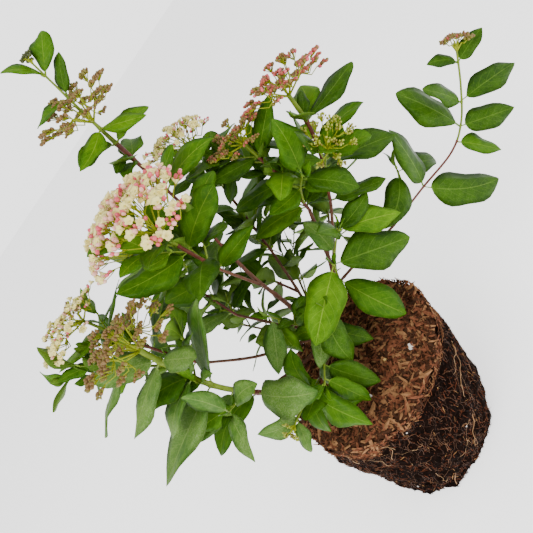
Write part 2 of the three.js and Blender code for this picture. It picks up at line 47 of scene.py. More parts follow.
# The camera stands 35 cm in front of the shrub, looks 27 degrees down, and is rolled, because the
# plant is shown leaning well over in a square picture.
camera_data = bpy.data.cameras.new("camera")
camera_data.lens = 30.394
camera_data.sensor_width = 36
camera_data.clip_start = 0.01
camera = bpy.data.objects.new("camera", camera_data)
pitch = Matrix.Rotation(math.radians(90 - 27), 4, "X")
roll = Matrix.Rotation(math.radians(-56), 4, "Z")
camera.matrix_world = Matrix.Translation((0.0441, -0.345, 0.462)) @ pitch @ roll
bpy.context.scene.collection.objects.link(camera)
bpy.context.scene.camera = camera


# The studio: a wide white floor that glows a little, and an even white surround that looks brighter
# than it shines, with one large soft lamp above on the left and a weaker one on the right.
class Wire:
    """One output socket of a material's nodes, used in sums such as 1 - mask."""

    def __init__(self, tree, socket=None):
        self.tree, self.socket = tree, socket

    def node(self, kind, sockets=(), output=0, **settings):
        """A new node. sockets maps input names or numbers to values or wires."""
        made = self.tree.nodes.new(kind)
        for name, value in settings.items():
            setattr(made, name, value)
        for name, value in dict(sockets).items():
            if isinstance(value, Wire):
                self.tree.links.new(value.socket, made.inputs[name])
            else:
                made.inputs[name].default_value = value
        return Wire(self.tree, made.outputs[output])

    def maths(self, operation, *values):
        return self.node("ShaderNodeMath", enumerate(values), operation=operation)

    __add__ = lambda self, other: self.maths("ADD", self, other)
    __sub__ = lambda self, other: self.maths("SUBTRACT", self, other)
    __rsub__ = lambda self, other: self.maths("SUBTRACT", other, self)
    __mul__ = lambda self, other: self.maths("MULTIPLY", self, other)
    __pow__ = lambda self, other: self.maths("POWER", self, other)

    def noise(self, scale, detail):
        """Noise over this place."""
        return self.node("ShaderNodeTexNoise", {"Vector": self, "Scale": scale, "Detail": detail})

    def step(self, low, high, start=0.0, end=1.0):
        """From start to end as this value goes from low to high, and flat outside."""
        values = {"Value": self, "From Min": low, "From Max": high, "To Min": start, "To Max": end}
        return self.node("ShaderNodeMapRange", values, clamp=True)

    def mix(self, first, second):
        """The first colour where this value is 0 and the second where it is 1."""
        return self.node("ShaderNodeMix", {0: self, 6: first, 7: second}, 2, data_type="RGBA")


def paint(shade):
    """A linear colour from the 0 to 255 values of a paint chart."""
    share = np.array(shade) / 255
    linear = np.where(share <= 0.04045, share / 12.92, ((share + 0.055) / 1.055) ** 2.4)
    return (*linear.tolist(), 1.0)


def surface(name, shine):
    """A new material: its shader, and a wire to add nodes with."""
    made = bpy.data.materials.new(name)
    made.use_nodes = True
    shader = made.node_tree.nodes["Principled BSDF"]
    shader.inputs["Specular IOR Level"].default_value = shine
    return made, shader, Wire(made.node_tree)


def connect(shader, **values):
    """Links wires to the shader's sockets, named here with underscores for spaces."""
    for name, wire in values.items():
        shader.id_data.links.new(wire.socket, shader.inputs[name.replace("_", " ")])


def speckled(name, dark, light, grain, roughness=0.7, relief=0.0, shine=0.5, contrast=2.2):
    """A material that wanders between two shades in patches of about grain mm, with relief in mm."""
    made, shader, wire = surface(name, shine)
    place = wire.node("ShaderNodeTexCoord", output="Object")
    wide, fine = place.noise(1 / (grain * MM), 5.0), place.noise(5 / (grain * MM), 3.0)
    share = ((wide * 0.7 + fine * 0.3 - 0.5) * contrast + 0.5).step(0.0, 1.0)
    rough = fine.step(0.3, 0.7, roughness - 0.08, roughness + 0.08)
    connect(shader, Base_Color=share.mix(paint(dark), paint(light)), Roughness=rough)
    if relief:
        bump = {"Height": wide * 0.5 + fine * 0.5, "Strength": 1.0, "Distance": relief * MM}
        connect(shader, Normal=wire.node("ShaderNodeBump", bump))
    return made


def add_mesh(name, points, faces, materials, which=None, maps=None, smooth=True):
    """A mesh from points in mm and arrays of faces, one array for each number of corners. which gives
    each face's material, and maps a texture place for each point."""
    mesh = bpy.data.meshes.new(name)
    corners = np.concatenate([block.ravel() for block in faces]).astype(np.int32)
    counts = np.concatenate([np.full(len(block), block.shape[1]) for block in faces])
    mesh.vertices.add(len(points))
    mesh.vertices.foreach_set("co", (np.asarray(points, float) * MM).astype(np.float32).ravel())
    mesh.loops.add(len(corners))
    mesh.loops.foreach_set("vertex_index", corners)
    mesh.polygons.add(len(counts))
    mesh.polygons.foreach_set("loop_start", (np.cumsum(counts) - counts).astype(np.int32))
    mesh.update(calc_edges=True)
    mesh.polygons.foreach_set("use_smooth", np.full(len(counts), smooth))
    for made in materials:
        mesh.materials.append(made)
    if which is not None:
        mesh.polygons.foreach_set("material_index", np.asarray(which, np.int32))
    if maps is not None:
        layer = mesh.uv_layers.new(name="UVMap")
        layer.data.foreach_set("uv", maps[corners].astype(np.float32).ravel())
    piece = bpy.data.objects.new(name, mesh)
    bpy.context.scene.collection.objects.link(piece)
    return piece


floor_size = 90000
floor_corners = np.array([[-1, -1, 0], [1, -1, 0], [1, 1, 0], [-1, 1, 0]]) * floor_size
floor_white = speckled("floor_white", (250, 250, 250), (252, 252, 252), 400, 0.9)
floor_shader = floor_white.node_tree.nodes["Principled BSDF"]
floor_shader.inputs["Emission Color"].default_value = (1.0, 1.0, 1.0, 1.0)
floor_shader.inputs["Emission Strength"].default_value = 1.3
floor = add_mesh("studio_floor", floor_corners, [np.array([[0, 1, 2, 3]])], [floor_white])

world = bpy.data.worlds.new("surround")
world.use_nodes = True
world.node_tree.nodes["Background"].inputs["Color"].default_value = (1.0, 1.0, 1.0, 1.0)
wire = Wire(world.node_tree)
seen = wire.node("ShaderNodeLightPath", output="Is Camera Ray")
wire.tree.links.new((seen * 1.55 + 0.95).socket, wire.tree.nodes["Background"].inputs["Strength"])
bpy.context.scene.world = world
lamps = {"key_lamp": ((-0.7, -0.9, 1.5), 0.9, 22), "fill_lamp": ((1.1, -0.7, 0.9), 1.2, 7)}
for name, (place, size, energy) in lamps.items():
    lamp = bpy.data.lights.new(name, "AREA")
    lamp.size, lamp.energy = size, energy
    holder = bpy.data.objects.new(name, lamp)
    holder.location = place
    holder.rotation_euler = (Vector((0.05, 0, 0.25)) - holder.location).to_track_quat("-Z", "Y").to_euler()
    bpy.context.scene.collection.objects.link(holder)


# The root ball is damp peat that kept the shape of its pot: dark brown, crumbly, held by roots, its
# lower edge worn and ragged. Moulded by the pot, it leans and bulges a little to one side.
BALL_HEIGHT, SOIL, LEAN = 140, 148, 18
BALL_WAVES, MULCH_WAVES = 2.4, 1.6


def dress(piece, slot=None, *nodes):
    """Fixes a piece to the plant's one body and hides the CAD nodes it replaces. The slot is not used."""
    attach(piece, "root")
    if nodes:
        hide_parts(*nodes)


def noise(points, grain, seed=0):
    """Smooth noise from -1 to 1: a value hashed at each corner of cubes of that grain, blended inside
    them by 3t²-2t³ along each axis."""
    place = np.asarray(points, float) / grain
    cell = np.floor(place).astype(np.int64)
    share = place - cell
    share = share * share * (3 - 2 * share)
    total = 0.0
    for corner in itertools.product((0, 1), repeat=3):
        x, y, z = np.moveaxis(cell + corner, -1, 0)
        mixed = (x * 73856093) ^ (y * 19349663) ^ (z * 83492791) ^ (seed * 7919)
        mixed = ((mixed ^ (mixed >> 13)) * 1274126177) & 0x7FFFFFFF
        value = ((mixed ^ (mixed >> 15)) & 0xFFFF) / 32767.5 - 1
        total = total + value * np.prod(np.where(corner, share, 1 - share), axis=-1)
    return total


def lumps(angle, height):
    """Slow waves round and up the root ball."""
    return (0.5 * np.sin(3 * angle + 0.05 * height) + 0.35 * np.sin(7 * angle - 0.08 * height + 1)
            + 0.3 * np.sin(12 * angle + 0.21 * height + 2))


def ball_place(angle, radius, height, waves=BALL_WAVES):
    """A point round the leaning axis of the ball, on its slow waves where it is past half its foot."""
    radius = np.where(radius > 35, radius + waves * lumps(-angle, height), radius)
    lean = LEAN * height / SOIL
    return np.stack([radius * np.cos(angle) + lean, radius * np.sin(angle), height + 0 * angle], -1)


def side_radius(height):
    """The ball's radius: 71 at its foot and 88 at its top, with a belly of 6 by a half sine wave."""
    share = np.clip((height - 5) / (BALL_HEIGHT - 5), 0, 1)
    worn = 5 * (1 - np.sqrt(1 - np.clip(1 - height / 5, 0, 1) ** 2))
    return 71 + 17 * share + 6 * np.sin(np.pi * share) - worn


def crumbs(points, height):
    """How far crumbs stand out of the ball's side, in mm: three sizes of noise, fuller and more ragged
    towards the foot, where bits have worn away."""
    rough = 1.3 * noise(points, 13, 1) + 1.2 * np.abs(noise(points, 5.5, 2)) + 0.75 * noise(points, 2.4, 3)
    rough = rough + 5.5 * np.exp(-height / 60) * (0.55 + noise(points, 16, 6))
    worn = 6.0 * np.exp(-height / 12) * np.clip(noise(points, 11, 4) + 0.3, 0, 1)
    return rough - 0.6 - worn


def ring_faces(rows, around):
    """Faces of a closed form made of rings: four-cornered ones between the rings, and three-cornered
    ones that close its ends to the two points that follow the last ring."""
    first = np.arange(rows - 1)[:, None] * around + np.arange(around)
    second = first - first % around + (first + 1) % around
    between = np.stack([first, second, second + around, first + around], -1).reshape(-1, 4)
    ring, last, low = np.arange(around), (rows - 1) * around, rows * around
    after = (ring + 1) % around
    bottom = np.stack([after, ring, np.full(around, low)], -1)
    top = np.stack([last + ring, last + after, np.full(around, low + 1)], -1)
    return [between, np.concatenate([bottom, top])]


def turned(radii, heights, around, waves, relief):
    """A closed turned form: rings of those radii and heights, moved out by relief(points, height)."""
    angle = np.linspace(0, 2 * np.pi, around, endpoint=False)[None, :]
    radius, height = np.asarray(radii, float)[:, None], np.asarray(heights, float)[:, None]
    out = relief(ball_place(angle, radius + 0 * angle, height + 0 * angle, waves), height)
    points = ball_place(angle, radius + out, height + 0 * angle, waves).reshape(-1, 3)
    ends = [[LEAN * end / SOIL, 0, end] for end in (heights[0], heights[-1])]
    return np.vstack([points, ends]), ring_faces(len(radii), around)


rows = np.concatenate([[0] * 5, np.linspace(0, 1, 96) ** 1.05 * BALL_HEIGHT, [BALL_HEIGHT] * 2])
radii = np.concatenate([[10, 30, 45, 55, 61], side_radius(rows[5:101]), [60, 20]])
peat = speckled("damp_peat", (3, 2, 1), (28, 15, 10), 4, 0.95, 0.6, 0.03, 2.8)
root_ball = add_mesh("root_ball_peat", *turned(radii, rows, 400, BALL_WAVES, crumbs), [peat])
dress(root_ball, "soil", "root_ball")


# Crumbs of peat, shreds of bark and wood bits stuck in the ball's side, in three shades. They stand
# out at all angles and make its outline ragged.
def unit(vectors):
    """The same ways, each 1 long."""
    return vectors / np.maximum(np.linalg.norm(vectors, axis=-1, keepdims=True), 1e-9)


# A splinter 1 long in x, as points and faces: two sloping three-cornered ends and a thicker middle.
SPLINTER = (
    np.array([[-0.5, -0.2, -0.3], [-0.45, 0.4, -0.2], [-0.42, 0.1, 0.45],
              [0.1, -0.5, -0.4], [0.05, 0.5, -0.35], [0.15, -0.05, 0.5],
              [0.5, -0.15, -0.1], [0.48, 0.2, -0.05], [0.46, 0.05, 0.2]]),
    [np.array([[0, 3, 4, 1], [1, 4, 5, 2], [2, 5, 3, 0], [3, 6, 7, 4], [4, 7, 8, 5], [5, 8, 6, 3]]),
     np.array([[0, 1, 2], [8, 7, 6]])])


def repeated(faces, count, size):
    """The faces of a small shape of size points, once for each of count copies of it."""
    starts = (np.arange(count) * size)[:, None, None]
    return [(block[None] + starts).reshape(-1, block.shape[1]) for block in faces]


def copies(shape, places, axes, sizes, jitter, rng):
    """The small shape set down at each place: its axes turned to the rows of axes and scaled by sizes,
    and each point moved by up to jitter of the size."""
    points, faces = shape
    local = points + jitter * rng.uniform(-1, 1, (len(places), *points.shape))
    moved = places[:, None] + np.einsum("nki,nij->nkj", local * sizes[:, None], axes)
    return moved.reshape(-1, 3), repeated(faces, len(places), len(points))


def scattered_axes(normal, rng, stand, level=0.0):
    """Axes for scattered bits: the long one lies across the normal at random and stands up from it by
    up to stand. level pulls it towards the horizontal, and below 0 pulls it upright."""
    long = unit(np.cross(normal, rng.normal(size=normal.shape)))
    long = unit(long * [1, 1, 1 - level] + normal * (rng.uniform(-0.1, 1, (len(normal), 1)) * stand))
    broad = unit(np.cross(normal, long))
    return np.stack([long, broad, np.cross(long, broad)], 1)


def on_side(angle, height, share, out):
    """Places on the ball's side, that share of the way out over its crumbs and out mm past that."""
    radius = side_radius(height)
    relief = crumbs(ball_place(angle, radius, height), height)
    return ball_place(angle, radius + (share * relief + out), height)


def side_spots(count, rng, low, high, out=0.0):
    """Random places on the ball's crumbly side between two heights, and the way out there."""
    angle, height = rng.uniform(0, 2 * np.pi, count), rng.uniform(low, high, count)
    way = unit(np.stack([np.cos(angle), np.sin(angle), -0.1 + 0 * angle], -1))
    return on_side(angle, height, 1, out), way


rng = np.random.default_rng(5)
for name, count, broad, dark, light in (
    ("peat_bits_dark", 2600, 1.8, (5, 3, 2), (32, 18, 12)),
    ("peat_bits_brown", 2400, 0.85, (62, 30, 18), (122, 68, 43)),
    ("peat_bits_pale", 150, 0.9, (130, 90, 54), (186, 140, 92)),
):
    places, way = side_spots(count, rng, 1.5, 139)
    places += way * 0.3
    long = rng.gamma(3.0, 1.3, count) + 1.2
    sizes = np.stack([long, broad * rng.uniform(0.35, 1, count), broad * rng.uniform(0.3, 0.7, count)], -1)
    axes = scattered_axes(way, rng, 0.5, -1.6)
    bits, bit_faces = copies(SPLINTER, places, axes, sizes, 0.12, rng)
    bits[:, 2] = np.maximum(bits[:, 2], 0.05)
    stuff = speckled(name, dark, light, 4, 0.92, 0.2, 0.1)
    dress(add_mesh(name, bits, bit_faces, [stuff], smooth=False), "soil")


# The roots that the pot's wall turned, mostly up and down the ball's side: a few tan to whitish ones
# about 1 mm thick, and many thin ones from brown to tan. They wander, and some lift free.
def tubes(paths, radii, sides):
    """Closed round tubes along paths, an array of (tubes, points, 3), with a radius at each point. Each
    ring lies across the path, and both ends close in a point."""
    count, steps, _ = paths.shape
    along = unit(np.gradient(paths, axis=1))
    chord = unit(paths[:, -1] - paths[:, 0])
    aside = unit(np.cross(chord, np.where(np.abs(chord[:, 2:]) < 0.8, [0, 0, 1.0], [0, 1.0, 0])))
    across = unit(np.cross(along, aside[:, None]))
    other = np.cross(along, across)
    turn = np.linspace(0, 2 * np.pi, sides, endpoint=False)
    spread = across[:, :, None] * np.cos(turn)[:, None] + other[:, :, None] * np.sin(turn)[:, None]
    rings = (paths[:, :, None] + spread * radii[:, :, None, None]).reshape(count, -1, 3)
    ends = paths[:, [0, -1]] + along[:, [0, -1]] * (radii[:, [0, -1]] * [-0.5, 0.5])[..., None]
    points = np.concatenate([rings, ends], 1)
    return points.reshape(-1, 3), repeated(ring_faces(steps, sides), count, steps * sides + 2)


def side_threads(count, steps, rng, low, high, strides, quarter, stray, wander, lift):
    """Paths over the ball's side that start between two heights and head both ways, level or a quarter
    turn from it, give or take stray. The heading swings as sums of sine waves, and the ends lift."""
    share = np.linspace(0, 1, steps)[None]
    swing = rng.uniform(-1, 1, (count, 3)) * wander
    starts = [rng.uniform(0, 6.3, (count, 1)) for _ in range(3)]
    course = sum(swing[:, [k]] * np.sin((k + 1) * 4.1 * share + starts[k]) for k in range(3))
    heading = rng.normal(0, stray, count) + np.pi * (rng.integers(0, 2, count) - quarter / 2)
    course = heading[:, None] + course
    stride = rng.uniform(*strides, count)[:, None]
    start = rng.uniform(low, high, (count, 1))
    height = np.clip(start + np.cumsum(np.sin(course) * stride, 1), 1.5, 141)
    angle = rng.uniform(0, 2 * np.pi, (count, 1)) + np.cumsum(np.cos(course) * stride, 1) / 82
    return on_side(angle, height, 0.75, 0.45 + lift * share * rng.uniform(-0.6, 1, (count, 1)))


# How many, rings, sides, radius, longest stride, how far the heading strays from upright, how much it
# wanders, how far the end lifts off, and the two shades.
ROOTS = (
    ("roots_thick", 15, 22, 6, 0.52, 1.9, 0.8, 0.6, 2.4, (126, 88, 54), (178, 136, 90)),
    ("roots_pale", 60, 22, 5, 0.25, 1.7, 0.9, 0.7, 2.2, (150, 112, 74), (212, 172, 126)),
    ("roots_tan", 300, 16, 4, 0.18, 1.5, 0.6, 0.6, 1.6, (92, 54, 33), (160, 110, 70)),
    ("root_hairs", 2400, 8, 3, 0.17, 2.3, 0.45, 0.4, 1.6, (54, 29, 18), (120, 78, 51)),
)
rng = np.random.default_rng(8)
for name, count, steps, sides, thin, stride, stray, wander, lift, dark, light in ROOTS:
    paths = side_threads(count, steps, rng, 4, 136, (0.5, stride), 1, stray, wander, lift)
    radii = np.linspace(1, 0.45, steps)[None] * thin * rng.gamma(6, 1 / 6, (count, 1))
    dress(add_mesh(name, *tubes(paths, radii, sides), [speckled(name, dark, light, 5, 0.7)]), "soil")


# The mulch: a bed of shredded conifer bark, red-brown and fibrous, heaped to the rim and hanging a
# little way over it. The bed is one relief, and the loose chips and shreds on it are pieces of their own.
MULCH_RIM = 88


def mulch_relief(points, height):
    """How far the mulch stands out, in mm."""
    return 1.3 * noise(points, 7, 11) + 0.8 * noise(points, 3, 12) - 0.3


radii = np.concatenate([[30, 70], np.linspace(86, 88.6, 3), [88.0, 86.5], np.linspace(84, 4, 64)])
edge = [139.6, 139.6, 139.8, 141.5, 143.5, 145.2, 146.6]
heights = np.concatenate([edge, np.linspace(147.3, SOIL, 64)])
points, faces = turned(radii, heights, 300, MULCH_WAVES, mulch_relief)
top = points[:, 2] > 144
points[top, 2] += 1.0 * noise(points[top], 8, 13) + 0.7 * noise(points[top], 3.2, 14) - 0.2
bed = speckled("mulch_bed", (26, 14, 9), (92, 56, 36), 2.2, 0.9, 0.5, 0.1)
dress(add_mesh("mulch_bed", points, faces, [bed]), "mulch", "bark_mulch")

rng = np.random.default_rng(14)
for shade, count, longest, dark, light in (
    ("rust", 1500, 16, (80, 42, 27), (142, 88, 60)),
    ("dark", 1500, 16, (36, 21, 13), (84, 53, 34)),
    ("tan", 600, 21, (108, 72, 44), (170, 124, 84)),
):
    angle, reach = rng.uniform(0, 2 * np.pi, count), MULCH_RIM * rng.uniform(0, 1, count) ** 0.42
    height = SOIL + rng.uniform(-0.6, 2.0, count) - 1.0 * (reach / MULCH_RIM) ** 6
    places = ball_place(angle, reach, height, MULCH_WAVES)
    up = np.stack([0.25 * np.cos(angle), 0.25 * np.sin(angle), 1 + 0 * angle], -1)
    way = unit(up + rng.normal(0, 0.16, (count, 3)))
    # Chips spill over the rim and cling to the side, down to a ragged edge.
    over, over_way = side_spots(count, rng, 118, 147, 0.4)
    over += over_way * np.clip(over[:, 2:] - 136, 0, 2) * 0.6
    round_it = over * [1, 1, 0.1]
    kept = over[:, 2] > 135 + 10 * noise(round_it, 22, 15) + 8 * noise(round_it, 7, 16)
    places, way = np.vstack([places, over[kept]]), np.vstack([way, over_way[kept]])
    total = len(places)
    long = 3.5 + (longest - 3.5) * rng.beta(1.3, 2.8, total)
    sizes = np.stack([long, long * rng.uniform(0.16, 0.36, total) + 0.5, rng.uniform(0.8, 2.2, total)], -1)
    sizes[count:] *= [0.75, 0.6, 0.7]
    bits = copies(SPLINTER, places, scattered_axes(way, rng, 0.42), sizes, 0.12, rng)
    stuff = speckled(f"bark_{shade}", dark, light, 3, 0.85, 0.25, 0.12)
    dress(add_mesh(f"mulch_chips_{shade}", *bits, [stuff], smooth=False), "mulch")
    # Shreds of the same bark, thin as hair, lie between the chips and over the rim.
    hair = count // 2
    paths = side_threads(hair, 9, rng, 118, 142, (0.6, 1.7), 0, 0.9, 0.5, 1.0)
    fringe = paths[:, :, 2].min(1) > 129 + 8 * noise(paths[:, 4] * [1, 1, 0.1], 19, 15)
    angle, reach = rng.uniform(0, 2 * np.pi, hair), 86 * rng.uniform(0, 1, hair) ** 0.42
    centre = ball_place(angle, reach, SOIL + rng.uniform(0.2, 1.6, hair), MULCH_WAVES)
    bearing = rng.uniform(0, 2 * np.pi, (hair, 1)) + np.linspace(-1, 1, 9) * rng.normal(0, 0.15, (hair, 1))
    steps = np.stack([np.cos(bearing), np.sin(bearing), 0.08 * rng.normal(size=(hair, 9))], -1)
    lying = centre[:, None] + np.cumsum(steps, 1) * rng.uniform(0.5, 1.3, (hair, 1, 1))
    inside = np.linalg.norm(lying[:, :, :2] - [LEAN, 0], axis=-1).max(1) < MULCH_RIM
    paths = np.concatenate([paths[fringe], lying[inside]])
    radii = rng.uniform(0.18, 0.42, (len(paths), 1)) * np.linspace(1, 0.5, 9)
    dress(add_mesh(f"mulch_shreds_{shade}", *tubes(paths, radii, 4), [stuff]), "mulch")


# A few bits of white perlite from the potting mix, puffed volcanic glass, and a few yellowish feed
# grains, lie on the mulch and stick in the ball's side.
def rounded(rows, around):
    """A unit ball as rings between two poles: its points and faces."""
    tilt = np.linspace(-np.pi / 2, np.pi / 2, rows + 2)[1:-1, None]
    turn = np.linspace(0, 2 * np.pi, around, endpoint=False)[None]
    ring = np.stack([np.cos(tilt) * np.cos(turn), np.cos(tilt) * np.sin(turn), np.sin(tilt) + 0 * turn], -1)
    return np.vstack([ring.reshape(-1, 3), [[0, 0, -1], [0, 0, 1]]]), ring_faces(rows, around)


rng = np.random.default_rng(21)
for name, seen, more, size, dark, light in (
    ("perlite_bits", [[56, -56], [58, -53], [-1, -47]], 6, 2.6, (214, 206, 196), (242, 238, 232)),
    ("feed_grains", [[34, -38], [30, 40]], 2, 2.1, (190, 150, 80), (222, 186, 116)),
):
    on_top = np.array([[x, y, SOIL + 1.6] for x, y in seen], float)
    places = np.vstack([on_top, side_spots(more, rng, 20, 136, 0.3)[0]])
    axes = scattered_axes(unit(rng.normal(size=places.shape)), rng, 1.0)
    smaller = np.where(np.arange(len(places)) < len(seen), 1, 0.4)[:, None]
    sizes = size * rng.uniform(0.5, 1.15, (len(places), 3)) * smaller
    bits = copies(rounded(3, 7), places, axes, sizes, 0.16, rng)
    dress(add_mesh(name, *bits, [speckled(name, dark, light, 2, 0.8, 0.2)], smooth=False), "mulch")


# The trunk and boughs: thin grey-brown bark that splits in short upright cracks on the trunk, and is
# smoother and redder on the boughs, with swollen rings where leaf pairs once stood.
class Line:
    """A smooth line through places: a cubic piece between each two, whose slope at a place is half the
    way between its neighbours. Shares of its length are read off 200 short chords."""

    def __init__(self, places):
        p = np.asarray(places, float)
        self.knots = np.vstack([2 * p[0] - p[1], p, 2 * p[-1] - p[-2]])
        self.times = np.linspace(0, 1, 201)
        run = np.linalg.norm(np.diff(self.at(self.times), axis=0), axis=1)
        self.run = np.concatenate([[0], np.cumsum(run)])
        self.length = self.run[-1]

    def at(self, time):
        time = np.atleast_1d(time)
        pieces = len(self.knots) - 3
        k = np.minimum((time * pieces).astype(int), pieces - 1)
        w = (time * pieces - k)[:, None]
        a, b, c, d = (self.knots[k + i] for i in range(4))
        s, e = (c - a) / 2, (d - b) / 2
        return b + w * (s + w * (3 * (c - b) - 2 * s - e + w * (2 * (b - c) + s + e)))

    def frames(self, share):
        """At each share of the length: the place, the way along, and the two ways across, back (as
        near to +Y as it can be) and side."""
        time = np.interp(np.atleast_1d(share) * self.length, self.run, self.times)
        along = unit(self.at(np.minimum(time + 1e-4, 1)) - self.at(np.maximum(time - 1e-4, 0)))
        back = unit([0, 1, 0] - along * along[:, 1:2])
        return self.at(time), along, back, np.cross(along, back)

    def frame(self, share):
        """The same at one share."""
        return [rows[0] for rows in self.frames(share)]


def through(route):
    """A line through places given as [x, y, height above the mulch]."""
    return Line(np.asarray(route, float) + [0, 0, SOIL])


def limb(line, radius_at, sides, per_mm, rough, start=0.0, end=1.0, nodes=()):
    """A closed limb: rings across the line, of radius_at(share) times 1 plus noise drawn out along it,
    and swollen by a sixth at the nodes."""
    rings = max(4, int(line.length * (end - start) * per_mm))
    share = np.linspace(start, end, rings)
    place, _, back, side = line.frames(share)
    turn = np.linspace(0, 2 * np.pi, sides, endpoint=False)
    spread = back[:, None] * np.cos(turn)[:, None] + side[:, None] * np.sin(turn)[:, None]
    radius = radius_at(share)
    for node in nodes:
        radius = radius * (1 + 0.16 * np.exp(-(((share - node) * line.length) / 1.6) ** 2))
    drawn_out = (share * line.length / 4)[:, None]
    cells = np.stack(np.broadcast_arrays(3 * np.cos(turn)[None], 3 * np.sin(turn)[None], drawn_out), -1)
    seed = int(line.length * 10) % 97
    swell = 1 + rough * (0.7 * noise(cells, 1.4, seed) + 0.5 * noise(cells, 0.6, seed + 1))
    points = (place[:, None] + spread * (radius[:, None] * swell)[..., None]).reshape(-1, 3)
    return np.vstack([points, place[0], place[-1]]), ring_faces(rings, sides)


def joined(parts):
    """Several (points, faces) as one."""
    starts = np.cumsum([0] + [len(points) for points, _ in parts])
    points = np.vstack([points for points, _ in parts])
    kinds = zip(*(faces for _, faces in parts))
    return points, [np.concatenate([block + start for block, start in zip(kind, starts)]) for kind in kinds]


def taper(radii):
    """The radius along a limb whose radii are given at even steps."""
    return lambda share: np.interp(share, np.linspace(0, 1, len(radii)), radii)


TRUNK_LINE = through([[18, 20, -7.7], [18, 20, 8], [21, 22, 46]])
# Each bough's radii, and the places it runs through.
BOUGHS = {
    "leader": ([2.7, 1.6], [[21, 22, 46.3], [26, 23, 90], [29, 25, 129], [36, 30, 165]]),
    "centre_left": ([1.5, 1.3], [[27, 24, 122], [24, 12, 146], [21, -2, 172]]),
    "front_left": ([2.2, 2.2], [[19, 21, 22], [-14, 6, 44], [-50, -18, 80]]),
    "mid_left": ([1.7, 1.3], [[20, 22, 38], [4, 36, 70], [-12, 50, 110]]),
    "back_left": ([1.8, 1.4], [[18, 24, 30], [-37, 52, 60], [-74, 60, 108]]),
    "back": ([1.8, 1.4], [[21, 22, 34], [42, 50, 68], [59, 70, 104]]),
    "right": ([2.4, 1.7], [[20, 20, 26], [50, 19, 46], [78, 20, 68], [109, 20, 124]]),
    "far_right": ([1.6, 1.4], [[74, 20, 62], [98, 12, 88], [121, 2, 118]]),
    "low_right": ([1.5, 1.1], [[62, 20, 53], [104, 14, 50], [146, 8, 44]]),
}


def trunk_radius(share):
    """A flare at the foot that dies away upwards."""
    return 4.8 - 1.4 * share + 3.7 * np.exp(-9 * share)


trunk_bark = speckled("trunk_bark", (66, 46, 28), (128, 98, 62), 2.2, 0.75, 0.3, 0.3)
bough_bark = speckled("bough_bark", (58, 28, 16), (112, 66, 40), 2.6, 0.6, 0.15, 0.35)
trunk = add_mesh("trunk_bark", *limb(TRUNK_LINE, trunk_radius, 36, 1.4, 0.07), [trunk_bark])
dress(trunk, "bark", "trunk")
limbs = []
for radii, route in BOUGHS.values():
    line = through(route)
    limbs.append(limb(line, taper(radii), 18, 0.9, 0.05, nodes=np.arange(0.2, 1, 32 / line.length)))
boughs = add_mesh("bough_bark", *joined(limbs), [bough_bark])
dress(boughs, "bark", *(f"bough_{name}" for name in BOUGHS))


